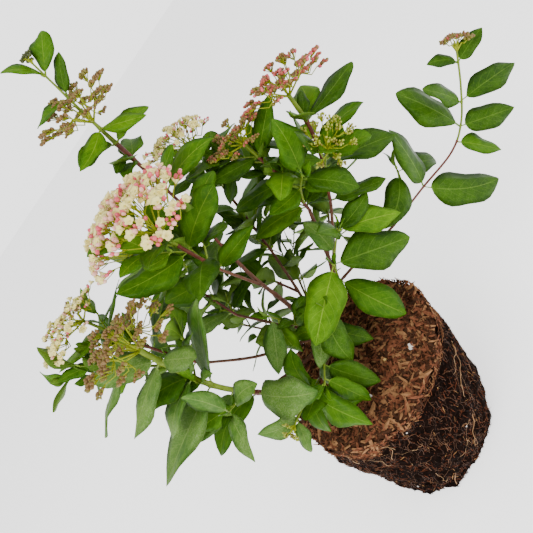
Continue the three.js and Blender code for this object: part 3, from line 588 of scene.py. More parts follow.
# The rule by which the shoots grow, as the CAD part has it: each mass is a stem with pairs of leaves,
# side shoots, seeded twigs and flower heads. What the CAD left out for want of room is left out here.
# A single is [share, length, turn, wider], a span [from, to, pairs, length, turn, wider] and a head
# [share, kind, width]. more holds leaves that the CAD has no room for.
LIMBS_OF = {
    "leader": dict(route=[[36, 30, 165], [47, 38, 215], [54, 40, 259], [61, 40, 307], [71, 40, 365]],
        radii=[1.4, 1.3, 1.5, 2.1, 1, 0.7], light=[0, -0.9, 0.6], seed=11, heads=[[0.735, "brown", 80],
        [1, "tiny", 14]], singles=[[0.7, 38, 108, 0.72], [0.7, 40, -123, 0.86], [0.83, 33, 82, 0.39],
        [0.85, 31, -90, -0.36], [0.94, 30, 108, -0.17], [0.94, 33, -73, -0.23]],
        spans=[[0.41, 0.41, 1, 34, 60, 0], [0.54, 0.54, 1, 46, 170, 0.2], [0.62, 0.62, 1, 40, 75, 0.25]],
        more=[[0.85, 30, -109, -0.35], [0.83, 33, 83, 0.41], [0.57, 25, 133, 0.52], [0.53, 32, 150, 0.49],
        [0.36, 60, -111, 0.2]]),
    "centre_left": dict(route=[[21, -2, 172], [20, -12, 205], [20, -20, 237]], radii=[1.3, 1.6],
        light=[-0.1, -0.6, 0.8], twigs=2, seed=23, heads=[[1, "white", 108]],
        spans=[[0.05, 0.8, 4, 58, 70, 0]]),
    "front_left": dict(route=[[-50, -18, 80], [-56, -30, 117], [-57, -40, 149], [-57, -40, 185],
        [-56, -40, 206]], radii=[2.2, 2.4], light=[-0.1, -0.15, 1], twigs=2, seed=37,
        heads=[[1, "brown", 88]], singles=[[0.04, 66, 89, 0], [0.06, 62, -147, 0.26], [0.28, 52, 99, -0.15],
        [0.49, 90, 95, 0.5], [0.49, 78, -84, -0.44], [0.5, 48, -139, 0.1], [0.63, 52, 96, 0.65],
        [0.87, 62, 62, -0.3], [0.86, 46, -146, 0.59], [0.86, 62, 77, 0.8], [0.84, 52, 43, 1.4]],
        spans=[[0.64, 0.64, 1, 50, 75, 0.2], [0.8, 0.8, 1, 50, 130, 0.1]], shoots=[dict(at=0.8,
        to=[-84, -14, 200], bow=2, singles=[[0.97, 62, 116, 0]], spans=[[0.5, 0.5, 1, 32, 60, 0]])]),
    "back_left": dict(route=[[-74, 60, 108], [-82, 60, 160], [-87, 60, 230]], radii=[1.4, 1.4],
        light=[-0.4, -0.2, 0.9], twigs=2, seed=41, heads=[[1, "pale", 84]],
        spans=[[0.05, 0.8, 5, 66, 90, 0.15]], shoots=[dict(at=0.55, to=[-140, 60, 212], bow=-6,
        spans=[[0.5, 0.97, 2, 34, 60, 0]])]),
    "mid_left": dict(route=[[-12, 50, 110], [-11, 60, 165], [-9, 60, 212]], radii=[1.3, 1],
        light=[-0.1, -0.4, 0.9], twigs=3, seed=53, spans=[[0.05, 0.85, 5, 58, 80, 0]], shoots=[dict(at=0.62,
        to=[-36, 40, 190], bow=3, spans=[[0.6, 0.6, 1, 36, 60, 0]], heads=[[1, "green", 24]])]),
    "back": dict(route=[[59, 70, 104], [73, 80, 145], [88, 80, 196], [98, 80, 232]], radii=[1.4, 1.4],
        light=[0, -0.3, 0.9], twigs=2, seed=61, heads=[[1, "pale", 76]], spans=[[0.05, 0.82, 5, 62, 70, 0]]),
    "right": dict(route=[[109, 20, 124], [115, 20, 159], [118, 20, 210]], radii=[1.5, 1.7],
        light=[0.1, -0.7, 0.7], twigs=2, seed=71, heads=[[1, "olive", 68]],
        spans=[[0.05, 0.8, 5, 62, 80, 0]], shoots=[dict(at=0.1, to=[118, -28, 171], bow=3,
        singles=[[0.97, 50, -9, -0.1], [0.88, 46, -146, 0.38]], spans=[[0.55, 0.55, 1, 40, 70, 0]])]),
    "far_right": dict(route=[[121, 2, 118], [146, 0, 152], [160, 0, 180], [167, 2, 207]], radii=[1.4, 1.9],
        light=[0.2, -0.5, 0.8], twigs=2, seed=83, heads=[[1, "rose", 86]], singles=[[0.75, 58, -100, 0.15],
        [0.34, 68, -102, 0.16], [0.78, 34, -60, 0.3]], spans=[[0.05, 0.74, 4, 54, 60, 0]],
        shoots=[dict(at=0.25, to=[146, -32, 168], bow=2, spans=[[0.6, 0.6, 1, 40, 70, 0.2]],
        heads=[[1, "green", 50]])]),
    "low_right": dict(route=[[146, 8, 44], [188, 0, 47], [228, -10, 50], [254, -10, 60], [272, -15, 86],
        [286, -20, 114]], radii=[1.1, 0.9], light=[0, -1.6, 0.5], seed=97, heads=[[1, "olive", 32]],
        singles=[[0.26, 82, -91, -0.44], [0.26, 68, 82, -0.04], [0.62, 70, 73, 0.04], [0.62, 52, -108, 0.02],
        [0.54, 44, -111, 0.2], [0.75, 62, -94, 0.26], [0.74, 48, 86, -0.11]],
        spans=[[0.94, 0.94, 1, 32, 70, 0]], shoots=[dict(at=0.16, to=[190, 12, 76], bow=2,
        singles=[[0.88, 56, 88, 1.4], [0.9, 50, -101, 0.63]])]),
    "base_right": dict(route=[[58, 19.5, 50], [70, -2, 68], [78, -20, 96]], radii=[1.3, 1],
        light=[0, -0.8, 0.6], seed=101, singles=[[0.97, 72, 122, 0.72], [0.99, 74, -109, 0.77],
        [0.56, 70, -155, 0.77]], shoots=[dict(at=0.35, to=[104, -20, 112], bow=4,
        singles=[[0.97, 58, -100, 0.4]], spans=[[0.6, 0.97, 2, 46, 30, 0]])]),
    "base_front": dict(route=[[19, 20, 20], [28, -6, 50], [42, -28, 84]], radii=[1.3, 0.9],
        light=[0, -0.8, 0.6], seed=113, singles=[[0.98, 54, 173, 1.3]], spans=[[0.5, 0.7, 2, 44, 230, 0.5]],
        shoots=[dict(at=0.2, to=[-10, -58, 62], bow=4, singles=[[0.67, 52, 148, 0.42], [0.97, 40, 23, -0.33],
        [0.9, 50, 127, 0.66]]), dict(at=0.12, to=[8, 6, 104], bow=6, singles=[[0.97, 52, 116, 0.9],
        [0.87, 38, 140, 1.23]], spans=[[0.6, 0.6, 1, 34, 60, 0.3]])]),
    "base_left": dict(route=[[19, 20, 14], [-10, -12, 32], [-36, -46, 58], [-52, -60, 66]], radii=[1.3, 0.9],
        light=[-0.3, -0.7, 0.7], seed=127, heads=[[1, "green", 24]], singles=[[0.9, 40, -25, -0.2],
        [0.94, 32, 79, -0.13], [0.66, 52, 177, 0.41]], spans=[[0.45, 0.6, 2, 44, 30, 0.3]],
        more=[[0.5, 50, 139, -1.08], [0.66, 62, 170, 0.21]]),
    "low_back_left": dict(route=[[18, 20, 18], [-8, 70, 46], [-30, 104, 86], [-38, 118, 124]],
        radii=[1.4, 1], drop=0.15, light=[-0.4, 0.3, 0.9], twigs=2, seed=137,
        spans=[[0.3, 0.97, 5, 62, 20, 0]]),
    "low_back_right": dict(route=[[18, 20, 24], [44, 74, 44], [74, 110, 76], [88, 122, 116]], radii=[1.4, 1],
        drop=0.15, light=[0.3, 0.4, 0.9], twigs=2, seed=149, spans=[[0.3, 0.97, 5, 62, 50, 0]]),
    "back_middle": dict(route=[[41, 49, 66], [34, 78, 94], [27, 100, 132], [28, 104, 170]], radii=[1.4, 1],
        drop=0.1, light=[0, 0.4, 0.9], twigs=2, seed=163, spans=[[0.2, 0.97, 5, 60, 10, 0]]),
    "right_back": dict(route=[[84, 20, 78], [122, 54, 84], [148, 70, 112]], radii=[1.4, 1], drop=0.1,
        light=[0.4, 0.1, 0.9], twigs=2, seed=179, spans=[[0.35, 0.97, 4, 62, 40, 0]]),
}
# Where a leaf tries to grow, as in the CAD: as planned, and then turned, tilted and smaller.
TRIES = [(0, 0, 1), (0.3, 0, 1), (-0.3, 0, 1), (0, -0.3, 0.95), (0, 0.3, 0.95), (0.55, 0.1, 0.88),
         (-0.55, 0.1, 0.88), (0.2, -0.5, 0.8), (-0.2, 0.45, 0.75), (0.9, 0, 0.7), (-0.9, 0, 0.7)]
# Each kind of head: its rays, and its clusters' radius and its own height as shares of its width.
HEADS = {
    "white": (14, 0.108, 0.38), "pale": (9, 0.1, 0.3), "brown": (10, 0.112, 0.34), "rose": (9, 0.112, 0.26),
    "olive": (7, 0.12, 0.3), "green": (6, 0.125, 0.5), "tiny": (3, 0.2, 0.6),
}
GOLDEN_ANGLE = math.pi * (3 - math.sqrt(5))
LEAF_BEND = 0.5
CHORD = math.sin(LEAF_BEND / 2) / (LEAF_BEND / 2)


def seeded(state):
    """The CAD's repeatable run of numbers: each state is 16807 times the last, modulo 2147483647."""
    while True:
        state = state * 16807 % 2147483647
        yield state / 2147483647


def tree_of(node):
    """The corners of a CAD node, to tell whether it kept a leaf."""
    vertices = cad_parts[node].data.vertices
    tree = kdtree.KDTree(len(vertices))
    for index, vertex in enumerate(vertices):
        tree.insert(vertex.co / MM, index)
    tree.balance()
    return tree


def swung(back, side, angle):
    """The way that lies that angle round from back towards side."""
    return back * math.cos(angle) + side * math.sin(angle)


def facing(chord, way):
    """The part of a way that is square to the chord."""
    return unit(way - chord * (way @ chord))


def grow_leaf(mass, stem, share, angle, wider, longest, checked=True):
    """One leaf, angle radians round its stem: the first of its tries whose tip is a corner of the CAD
    mass, or just the first if it is not checked. Leaves open less towards the stem's end, by wider
    radians more or less, and face the light and outwards."""
    node, along, back, side = stem["line"].frame(share)
    for more_swing, more_tilt, scale in TRIES:
        away = swung(back, side, angle + more_swing)
        chord = swung(along, away, 1.45 - 0.45 * share + wider + more_tilt)
        chord = unit(chord - [0, 0, mass.get("drop", 0) * (1 - 0.5 * share)])
        outside = unit((node - [18, 20, 0]) * [1, 1, 0])
        root, length = node + 0.1 * away, longest * scale
        if not checked or mass["tree"].find(root + chord * length * CHORD)[2] < 0.1:
            face = facing(chord, along * 0.5 + mass["light"] + 0.35 * outside)
            leaves.append(dict(root=root, chord=chord, face=face, length=length, share=share, away=away,
                               along=along, mass=mass["name"], tag=stem["tag"]))
            return


def grow_singles(mass, stem):
    """Leaves set one by one, those that the CAD has no room for unchecked."""
    for kind in ("singles", "more"):
        for share, length, turn, wider in stem.get(kind, []):
            grow_leaf(mass, stem, share, math.radians(turn), wider, length, kind == "singles")


def grow_pairs(mass, stem, draws):
    """Pairs of leaves along a stem, each pair a quarter turn on from the last."""
    for start, end, pairs, size, first_turn, wider in stem.get("spans", []):
        for pair in range(pairs):
            share = start if pairs == 1 else start + (end - start) * pair / (pairs - 1)
            turn = math.radians(first_turn + 90 * pair) + 0.3 * (next(draws) - 0.5)
            longest = size * (0.78 + 0.22 * math.sin(math.pi * (pair + 0.5) / pairs))
            for half in (0, 1):
                vary, swing, tilt = (next(draws) - 0.5 for _ in range(3))
                angle = turn + math.pi * half + 0.2 * swing
                grow_leaf(mass, stem, share, angle, wider + 0.25 * tilt, longest * (1 + 0.2 * vary))


def grow_head(mass, line, share, kind, width, draws):
    """The clusters of one flower head, in a golden-angle fan: their places and radii."""
    rays, cluster, dome = HEADS[kind]
    hub, along, back, side = line.frame(share)
    size = cluster * width
    clusters = []
    for ray in range(rays):
        reach = math.sqrt((ray + 0.35) / rays) * (0.92 + 0.16 * next(draws))
        angle = ray * GOLDEN_ANGLE + 0.3 * next(draws)
        rise = width * (dome * (1.05 - 0.55 * reach * reach) + 0.03 * next(draws)) - size * 0.72
        end = hub + along * rise + (width / 2 - size) * reach * swung(back, side, angle)
        clusters.append((end, size * (0.9 + 0.24 * next(draws))))
        next(draws)  # The CAD turns its cluster by this one.
    return dict(hub=hub, along=along, kind=kind, width=width, clusters=clusters, mass=mass["name"])


leaves, stems, heads = [], [], []
for name, mass in LIMBS_OF.items():
    mass.update(name=name, tree=tree_of(f"foliage_{name}"), line=through(mass["route"]))
    draws = seeded(mass["seed"])
    own = [dict(mass, tag="stem")]
    for shoot in mass.get("shoots", []):
        start, end = mass["line"].frame(shoot["at"])[0], np.array(shoot["to"], float) + [0, 0, SOIL]
        line = Line([start, (start + end) / 2 + [0, 0, shoot["bow"]], end])
        own.append(dict(shoot, tag="shoot", line=line, name=name, radii=[1.1, 0.8]))
    for stem in own:
        for share, kind, width in stem.get("heads", []):
            heads.append(grow_head(mass, stem["line"], share, kind, width, draws))
    for stem in own:
        grow_singles(mass, stem)
    for stem in own:
        grow_pairs(mass, stem, draws)
    stems += own
    twigs = mass.get("twigs", 0)
    for twig in range(twigs):
        first, second, third, fourth = (next(draws) for _ in range(4))
        share = 0.08 + 0.77 * (twig + 0.3 + 0.4 * first) / twigs
        opening, length = 0.75 + 0.3 * (third - 0.5), 34 * (0.8 + 0.4 * fourth)
        node, along, back, side = mass["line"].frame(share)
        for swing in (0, 1.3, 2.6, 3.9, 5.2):
            outward = swung(along, swung(back, side, 2 * math.pi * second + swing), opening)
            tip = node + outward * length + [0, 0, 4]
            if mass["tree"].find(tip)[2] < 0.8:
                line = Line([node, node + outward * length / 2, tip])
                spans = [[0.6, 0.98, 2, 44, 90 * third, 0]]
                grown = dict(line=line, radii=[0.9, 0.6], name=name, tag="twig", spans=spans)
                grow_pairs(mass, grown, seeded(mass["seed"] * 31 + twig + 1))
                stems.append(grown)
                break


# The stems: this year's wood, round and slim, swollen at each leaf pair. It is red-brown on most
# shoots and still green under the flower heads and on the strongest shoot.
STEM_SHADES = {
    "red": ((66, 25, 17), (116, 58, 38)),
    "olive": ((62, 50, 16), (112, 92, 40)),
    "green": ((78, 100, 8), (126, 146, 32)),
}
# From what share of its length a main stem is green, where that is not 0.7.
GREEN_FROM = {"front_left": 0.1, "centre_left": 0.72, "back_left": 0.6, "mid_left": 0.8, "back": 0.75,
              "right": 0.8, "far_right": 0.8, "low_right": 0.55, "base_left": 0.5, "leader": 0.62}
parts = {shade: [] for shade in STEM_SHADES}
for stem in stems:
    nodes = [s + (e - s) * k / max(n - 1, 1) for s, e, n, *_ in stem.get("spans", []) for k in range(n)]
    nodes = sorted(set(nodes) | {share for share, *_ in stem.get("singles", [])})
    main = stem["tag"] == "stem"
    shape = (stem["line"], taper(stem["radii"]), 12 if main else 8, 0.7, 0.03)
    if main:
        low = "olive" if stem["name"].startswith(("base", "low_back", "right_back")) else "red"
        turn_green = GREEN_FROM.get(stem["name"], 0.7)
        parts[low].append(limb(*shape, 0, turn_green, nodes))
    parts["green"].append(limb(*shape, turn_green - 0.004 if main else 0, 1, nodes))
for shade, limbs in parts.items():
    bark = speckled(f"stem_{shade}", *STEM_SHADES[shade], 5, 0.5, 0.05, 0.3)
    masses = [f"foliage_{name}" for name in LIMBS_OF] if shade == "green" else []
    dress(add_mesh(f"stems_{shade}", *joined(limbs), [bark]), "foliage", *masses)


# The leaves: leathery evergreen blades on short stalks, most of them 4 to 8 cm long, oval and pointed,
# a little folded along the midrib, with a thin pale edge, arched side veins and a duller underside.
BLADE = np.array([0, 0.045, 0.085, 0.105, 0.15, 0.21, 0.29, 0.38, 0.48, 0.58, 0.68, 0.78, 0.87, 0.94, 0.985])
STALK = 0.085
ACROSS = np.array([-1, -0.5, 0, 0.5, 1, 0])
BELOW = np.array([0, 0, 0, 0, 0, 1])


def leaf_meshes(group, rng):
    """Closed blades: points, faces, texture places and each face's side. The half width runs as
    q^a (1-q)^b, with a and b each leaf's own, the halves rise from the midrib as |x| and curl down as
    x², the margin waves in and out and up and down, and the whole bends down, bows aside and twists
    towards its tip. The underside is one ridge, so a ring has six corners."""
    count, rings, loop = len(group), len(BLADE), len(ACROSS)

    def vary(low, high, columns=1):
        return rng.uniform(low, high, (count, 1, columns))

    root, chord, face = (np.array([[leaf[key]] for leaf in group]) for key in ("root", "chord", "face"))
    length = np.array([leaf["length"] for leaf in group])[:, None, None]
    bend = np.clip(LEAF_BEND + rng.normal(0, 0.34, (count, 1, 1)), -0.3, 1.3)
    bend = np.where(np.abs(bend) < 0.05, 0.05, bend)
    outward = chord * np.cos(bend / 2) + face * np.sin(bend / 2)
    upward = face * np.cos(bend / 2) - chord * np.sin(bend / 2)
    sideways = np.cross(outward, upward)
    twist, bow = rng.normal(0, 0.36, (count, 1, 1)), rng.normal(0, 0.2, (count, 1, 1))
    oval = np.array([leaf["mass"] == "leader" for leaf in group])[:, None, None]
    broad = length * (vary(0.195, 0.268) + 0.02 * oval - 0.035 * (length > 76))
    base, point = vary(0.52, 0.78), vary(0.68, 1.0)
    widest = base / (base + point)
    full = widest ** base * (1 - widest) ** point
    edge, fold, curl = vary(0.04, 0.16), vary(0.12, 0.46), vary(0.14, 0.34)
    wave, phase = vary(0.05, 0.22), vary(0, 6.3, 2)
    share, x = BLADE[:, None], ACROSS
    turn = bend * share
    spine = (root + outward * (length * np.sin(turn) / bend) - upward * (length * (1 - np.cos(turn)) / bend)
             + sideways * (length * bow * share * (1 - share)))
    up = upward * np.cos(turn) + outward * np.sin(turn)
    roll = twist * (share - 0.3)
    up, across = up * np.cos(roll) + sideways * np.sin(roll), sideways * np.cos(roll) - up * np.sin(roll)
    q = np.clip((share - STALK) / (1 - STALK), 0, 1)
    outline = q ** base * (1 - q) ** point / full
    half = np.maximum(broad * outline, 0.55)
    blade = np.clip(outline * 4, 0, 1)
    side_phase = np.where(x < 0, phase[..., :1], phase[..., 1:])
    in_out = 1 + edge * np.sin(10 * q + 2 * side_phase)
    lift = half * (fold * np.abs(x) - curl * x * x) * blade
    lift = lift + wave * half * x * x * np.sin(8 * q + side_phase) * blade
    thick = 0.35 + 0.65 * (1 - q) + 0.5 * (1 - blade)
    places = (spine[:, :, None] + across[:, :, None] * (half * x * in_out)[..., None]
              + up[:, :, None] * (lift - BELOW * thick)[..., None])
    tip = root + outward * length * np.sin(bend) / bend - upward * length * (1 - np.cos(bend)) / bend
    points = np.concatenate([places.reshape(count, -1, 3), root, tip], 1)
    # Rings run left to right over the top and back below, so each face has to be turned outwards. Both
    # sides are cut along like diagonals, so they never cross where the blade twists.
    quads, caps = (block[:, ::-1] for block in ring_faces(rings, loop))
    under = np.tile(np.arange(loop) >= 4, rings - 1)[:, None]
    first = np.where(under, quads[:, [0, 1, 3]], quads[:, [0, 1, 2]])
    second = np.where(under, quads[:, [1, 2, 3]], quads[:, [0, 2, 3]])
    faces = repeated([np.concatenate([first, second, caps])], count, rings * loop + 2)
    sides = np.concatenate([under[:, 0], under[:, 0], np.tile(np.arange(loop) >= 4, 2)])
    maps = np.stack(np.broadcast_arrays((ACROSS + 1) / 2, BLADE[:, None]), -1).reshape(-1, 2)
    maps = np.vstack([maps, [0.5, 0], [0.5, 1]])
    return points.reshape(-1, 3), faces, np.tile(maps, (count, 1)), np.tile(sides, count)


def leaf_surface(name, dark, light, vein, roughness, dust, under=False):
    """The blade's material. Side veins lie where (v - 0.28 x^1.25) 7 is whole, x being the share of the
    way from midrib to margin, and the blade puffs up a little between them."""
    made, shader, wire = surface(name, 0.2 if dust > 0.1 else 0.1)
    spot = wire.node("ShaderNodeUVMap", uv_map="UVMap")
    u, v = (wire.node("ShaderNodeSeparateXYZ", {0: spot}, output) for output in (0, 1))
    x = wire.maths("ABSOLUTE", u * 2 - 1)
    place = wire.node("ShaderNodeTexCoord", output="Object")
    cloud, patch, fine = place.noise(38.0, 4.0), place.noise(190.0, 2.0), place.noise(900.0, 3.0)
    beat = wire.maths("PINGPONG", v * 7 - x ** 1.25 * 2.0, 0.5)
    vein_line = beat.step(0.0, 0.06, 1.0, 0.0) * x.step(0.5, 0.9, 1.0, 0.0) * v.step(0.1, 0.2)
    midrib, margin = x.step(0.01, 0.045, 1.0, 0.0), x.step(0.95, 0.99)
    # The (0.5 - x) term paints each blade lighter along its midrib and darker towards its margin: painted
    # light and shade across each half.
    green = (cloud - 0.5) * 1.9 + (patch - 0.5) * 1.3 + 0.42 + (0.5 - x) * 0.25
    green = green.step(0.0, 1.0).mix(dark, light)
    green = (fine.step(0.5, 0.75) * 0.16).mix(green, vein)
    green = (vein_line * 0.24 + midrib * 0.46 + margin * 0.2).step(0.0, 1.0).mix(green, vein)
    if dust:
        green = (fine.step(0.42, 0.68) * cloud.step(0.38, 0.6) * dust).mix(green, paint((160, 172, 128)))
    stalk = v.step(0.08, 0.11, 1.0, 0.0)
    height = beat.step(0.0, 0.5) ** 0.6 * (0.7 - x * 0.4) - midrib * 0.9 + fine * 0.25
    if under:
        height = 0 - height
    bump = wire.node("ShaderNodeBump", {"Height": height, "Strength": 0.6, "Distance": 0.25 * MM})
    rough = (cloud * 0.5 + fine * 0.5).step(0.3, 0.7, roughness - 0.06, roughness + 0.1)
    connect(shader, Base_Color=stalk.mix(green, vein), Normal=bump, Roughness=rough)
    return made


# Each shade's dark, light and vein colours, its roughness and its dust.
LEAF_SHADES = {
    "fresh": ((52, 94, 0), (88, 130, 0), (146, 174, 56), 0.44, 0.0),
    "green": ((42, 82, 0), (74, 116, 0), (126, 156, 50), 0.42, 0.0),
    "deep": ((32, 64, 0), (60, 98, 2), (108, 142, 48), 0.42, 0.04),
    "dusty": ((56, 96, 20), (96, 132, 44), (142, 166, 88), 0.5, 0.24),
}
# How often each shade comes up in a mass, where that is not (1, 4, 4, 0).
LEAF_MIX = {
    "leader": (5, 4, 1, 0), "centre_left": (1, 5, 3, 0), "front_left": (0, 2, 1, 6),
    "back_left": (2, 5, 2, 1), "mid_left": (1, 4, 4, 2), "back": (1, 4, 5, 0), "far_right": (1, 5, 3, 0),
    "low_right": (0, 2, 8, 0), "base_right": (0, 4, 6, 1), "base_front": (1, 4, 4, 2),
    "base_left": (3, 5, 1, 1), "low_back_left": (1, 4, 4, 1),
}
rng = np.random.default_rng(31)
# Small young leaves in pairs close the tips of shoots without flowers, and sit in the axils of others.
small = []
hubs = {name: [head["hub"] for head in heads if head["mass"] == name] for name in LIMBS_OF}
for stem in stems:
    place, along, back, side = stem["line"].frame(1)
    if any(np.linalg.norm(hub - place) < 1 for hub in hubs[stem["name"]]):
        continue
    angle = rng.uniform(0, 6.3)
    for half in (0, 1):
        away = swung(back, side, angle + half * math.pi)
        chord = unit(along + 0.35 * away)
        small.append(dict(root=place, chord=chord, face=facing(chord, -away), length=rng.uniform(13, 21),
                          share=1.0, mass=stem["name"], tag="young"))
# How often an axil has leaves of its own, where that is not 0.62.
AXILS = {"leader": 0.0, "low_right": 0.1, "centre_left": 0.4, "far_right": 0.45, "front_left": 0.2,
         "base_left": 0.3, "base_front": 0.4, "base_right": 0.4}
laterals = []
for leaf in leaves:
    if leaf["tag"] == "twig" or leaf["share"] > 0.8 or rng.uniform() > AXILS.get(leaf["mass"], 0.62):
        continue
    outward = unit(leaf["along"] + 0.8 * leaf["away"] + rng.normal(0, 0.3, 3) + [0, 0, 0.2])
    cross = unit(np.cross(outward, leaf["face"]))
    root, reach = leaf["root"], rng.uniform(4, 32)
    line = Line([root, root + outward * reach / 2 + [0, 0, 1], root + outward * reach])
    tree, found = LIMBS_OF[leaf["mass"]]["tree"], 0
    for place, spread, most in ((1.0, 0.55, 0.55 * reach + 18), (0.5, 1.0, 0.5 * reach + 20)):
        node = line.frame(place)[0]
        across = cross if place == 1.0 else unit(np.cross(outward, cross))
        for half in (-1, 1):
            chord = unit(swung(outward, half * across, spread))
            length = most * rng.uniform(0.8, 1.2)
            if (place == 1.0 or reach > 14) and tree.find(node + chord * length)[2] < 15:
                face = facing(chord, leaf["face"] + 0.4 * outward)
                small.append(dict(leaf, root=node, chord=chord, face=face, length=length, tag="axil"))
                found += 1
    if found and reach > 8:
        laterals.append(limb(line, taper([0.8, 0.55]), 6, 0.5, 0.03))
by_shade = {shade: [] for shade in LEAF_SHADES}
shades = list(LEAF_SHADES)
for leaf in leaves + small:
    chance = np.array(LEAF_MIX.get(leaf["mass"], (1, 4, 4, 0)), float)
    if leaf["share"] > 0.8 or leaf["tag"] in ("young", "axil"):
        chance = chance + [2, 2, 0, 0]
    by_shade[shades[rng.choice(4, p=chance / chance.sum())]].append(leaf)
dress(add_mesh("side_twigs", *joined(laterals), [bpy.data.materials["stem_green"]]), "foliage")
for shade, group in by_shade.items():
    *colours, roughness, dust = LEAF_SHADES[shade]
    dark, light, vein = (paint(colour) for colour in colours)
    grey = paint((124, 152, 66))
    duller = [tuple(0.65 * c + 0.35 * g for c, g in zip(colour, grey)) for colour in (dark, light)]
    tops = leaf_surface(f"leaf_{shade}", dark, light, vein, roughness, dust)
    unders = leaf_surface(f"leaf_{shade}_under", *duller, vein, 0.6, 0, True)
    points, faces, maps, which = leaf_meshes(group, rng)
    piece = add_mesh(f"leaves_{shade}", points, faces, [tops, unders], which, maps)
    dress(piece, "foliage", *sorted({f"foliage_{leaf['mass']}" for leaf in group}))


# The flower heads: green rays spread from the stem's end, fork twice, and carry a shallow dome of
# buds 2 to 4 mm across. On the open heads many are small white flowers of five round petals, and the
# shut buds are pink; other heads are tan, red or green.
BUD_SHADES = {
    "pink": ((196, 44, 66), (236, 120, 132)), "blush": ((222, 140, 126), (246, 206, 186)),
    "tan": ((86, 60, 22), (140, 106, 50)), "olive": ((92, 86, 12), (134, 122, 32)),
    "red": ((140, 50, 38), (194, 100, 78)), "lime": ((116, 126, 20), (168, 172, 56)),
    "dark": ((40, 48, 8), (78, 84, 22)),
}
# Clumps on 1000 square mm of the head's spread, buds on a clump, bud radius, the clump's radius, how
# deep the clumps lie as a share of the width, the share of open flowers, and the shades' weights.
HEAD_LOOKS = {
    "white": (8.8, 5, 1.85, 5.0, 0.08, 0.34, {"pink": 5, "blush": 5}),
    "pale": (6.4, 6, 1.4, 4.6, 0.12, 0.42, {"pink": 3, "blush": 4, "lime": 4, "tan": 2}),
    "brown": (6.8, 13, 1.4, 4.5, 0.3, 0.0, {"tan": 7, "olive": 3}),
    "rose": (6.6, 13, 1.4, 4.5, 0.22, 0.0, {"red": 4, "tan": 3, "olive": 2, "pink": 1}),
    "olive": (7.4, 12, 1.3, 4.0, 0.2, 0.0, {"olive": 4, "red": 2, "tan": 4}),
    "green": (9.0, 8, 1.05, 3.0, 0.15, 0.0, {"lime": 3, "olive": 1}),
    "tiny": (40.0, 7, 1.1, 2.4, 0.2, 0.0, {"dark": 1}),
}
# The cream head's rim is notched at the front: between which bearings, and from what share outwards.
NOTCHES = {"centre_left": (-160, -95, 0.62)}
# How far the large heads sway off the middle of their stem's end, in mm.
SWAYS = {"centre_left": (-3, 0, 0), "back_left": (-8, 0, -3), "front_left": (0, 0, 9), "far_right": (3, 0, 5),
         "leader": (0, 0, 8), "back": (-8, 0, 6), "right": (-2, 0, 4), "low_right": (4, 0, 5)}
rng = np.random.default_rng(47)
buds = {shade: [] for shade in BUD_SHADES}
flowers, rays, forks, stalks = [], [], [], []
for head in heads:
    density, count, bud, spread, depth, opened, weights = HEAD_LOOKS[head["kind"]]
    names, chances = list(weights), np.array(list(weights.values()), float)
    hub, along, width, dome = head["hub"], head["along"], head["width"], HEADS[head["kind"]][2]
    back = unit(np.array([0.0, 1, 0]) - along * along[1])
    side = np.cross(along, back)
    sway = np.array(SWAYS.get(head["mass"], (0, 0, 0))) * (head["kind"] not in ("green", "tiny"))
    splits = []
    for end, size in head["clusters"]:
        split = hub + (end + sway - hub) * rng.uniform(0.42, 0.56) - along * size * 0.1
        rays.append([hub - along * 1.5, (hub + split) / 2 - along * size * 0.1, split])
        splits.append(split)
    splits = np.array(splits)
    clumps = max(4, round(density * math.pi * (width / 2) ** 2 / 1000))
    edge = width / 2 - bud - 0.35 * spread
    first, last, inner = NOTCHES.get(head["mass"], (0, 0, 0))
    for clump in range(clumps):
        reach = math.sqrt((clump + 0.5) / clumps) * rng.uniform(0.9, 1.0)
        angle = clump * GOLDEN_ANGLE + rng.uniform(-0.25, 0.25)
        rise = width * dome * (1.05 - 0.55 * reach * reach) - bud - rng.uniform(0, depth) * width
        middle = hub + sway + along * rise + edge * reach * swung(back, side, angle)
        bearing = math.degrees(math.atan2(middle[1] - hub[1], middle[0] - hub[0]))
        if first < bearing < last and reach > inner:
            continue
        split = splits[np.argmin(np.linalg.norm(splits - middle, axis=1))]
        knot = middle + (split - middle) * 0.3 - along * spread * 0.35
        forks.append([split, (split + knot) / 2 - along * 0.06 * width * reach, knot])
        for one in range(count):
            fan = math.sqrt((one + 0.5) / count) * spread
            off = swung(back, side, one * GOLDEN_ANGLE + angle) * fan - along * fan * fan * 0.07
            place = middle + off + rng.normal(0, 0.35, 3)
            way = unit(place - knot + 0.6 * along * bud + rng.normal(0, 0.35, 3))
            stalks.append([knot, (knot + place) / 2 - along * 0.1 * fan, place - way * bud * 0.7])
            if rng.uniform() < opened:
                flowers.append((place + way * bud * 0.6, way, bud * rng.uniform(1.75, 2.2)))
            else:
                shade = names[rng.choice(len(names), p=chances / chances.sum())]
                buds[shade].append((place, way, bud * rng.uniform(0.75, 1.2)))


def set_out(group, rng):
    """The places, ways, axes and sizes of buds or flowers, the axes turned at random about the way."""
    places, ways, sizes = (np.array([one[k] for one in group]) for k in range(3))
    first = unit(np.cross(ways, rng.normal(size=ways.shape)))
    return places, ways, np.stack([first, np.cross(ways, first), ways], 1), np.repeat(sizes[:, None], 3, 1)


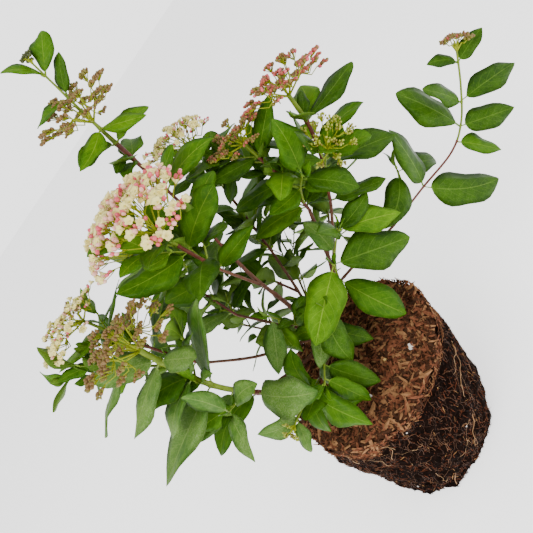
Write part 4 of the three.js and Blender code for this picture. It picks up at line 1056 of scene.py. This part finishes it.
stalk_green = speckled("flower_stalk", (112, 126, 8), (164, 172, 34), 4, 0.55, shine=0.2)
shape_of = {"rays": (rays, 0.85, 0.65, 6), "forks": (forks, 0.5, 0.38, 5), "stalks": (stalks, 0.3, 0.26, 4)}
for name, (paths, thick, thin, sides) in shape_of.items():
    paths = np.array(paths)
    widths = np.broadcast_to(np.linspace(thick, thin, 3), paths.shape[:2])
    dress(add_mesh(f"flower_{name}", *tubes(paths, widths, sides), [stalk_green]))
ball, ball_faces = rounded(3, 6)
bud_shape = (ball * [1 - 0.12, 1 - 0.12, 1.12], ball_faces)
for shade, group in buds.items():
    places, _, axes, sizes = set_out(group, rng)
    made = copies(bud_shape, places, axes, sizes, 0.05, rng)
    dress(add_mesh(f"buds_{shade}", *made, [speckled(f"bud_{shade}", *BUD_SHADES[shade], 1.6, 0.5)]))

# A flower is six rings of fifteen corners, drawn in at every third corner between its five petals.
corner = np.arange(15)
turn = corner * 2 * np.pi / 15
lobe, round_ring = np.where(corner % 3 == 0, 0.74, 1.0), np.ones(15)
petals = np.concatenate([
    np.stack([r * w * np.cos(turn), r * w * np.sin(turn), z + rise * (w - 0.74)], -1)
    for r, z, rise, w in ((0.12, -0.85, 0, round_ring), (0.3, -0.35, 0, round_ring), (0.82, 0.1, 0.3, lobe),
                          (1.0, 0.42, 0.3, lobe), (0.72, 0.1, 0.2, lobe), (0.25, -0.12, 0, round_ring))])
petals = np.vstack([petals, [[0, 0, -0.9], [0, 0, -0.1]]])
places, ways, axes, sizes = set_out(flowers, rng)
petal_white = speckled("petal_white", (236, 221, 126), (252, 243, 174), 3, 0.6, shine=0.2)
flower_petals = copies((petals, ring_faces(6, 15)), places, axes, sizes, 0.03, rng)
dress(add_mesh("flower_petals", *flower_petals, [petal_white]))
eye = speckled("flower_eye", (196, 190, 92), (226, 216, 132), 1, 0.6)
eyes = copies(bud_shape, places + ways * 0.25, axes, sizes * 0.2, 0.1, rng)
dress(add_mesh("flower_eyes", *eyes, [eye]))
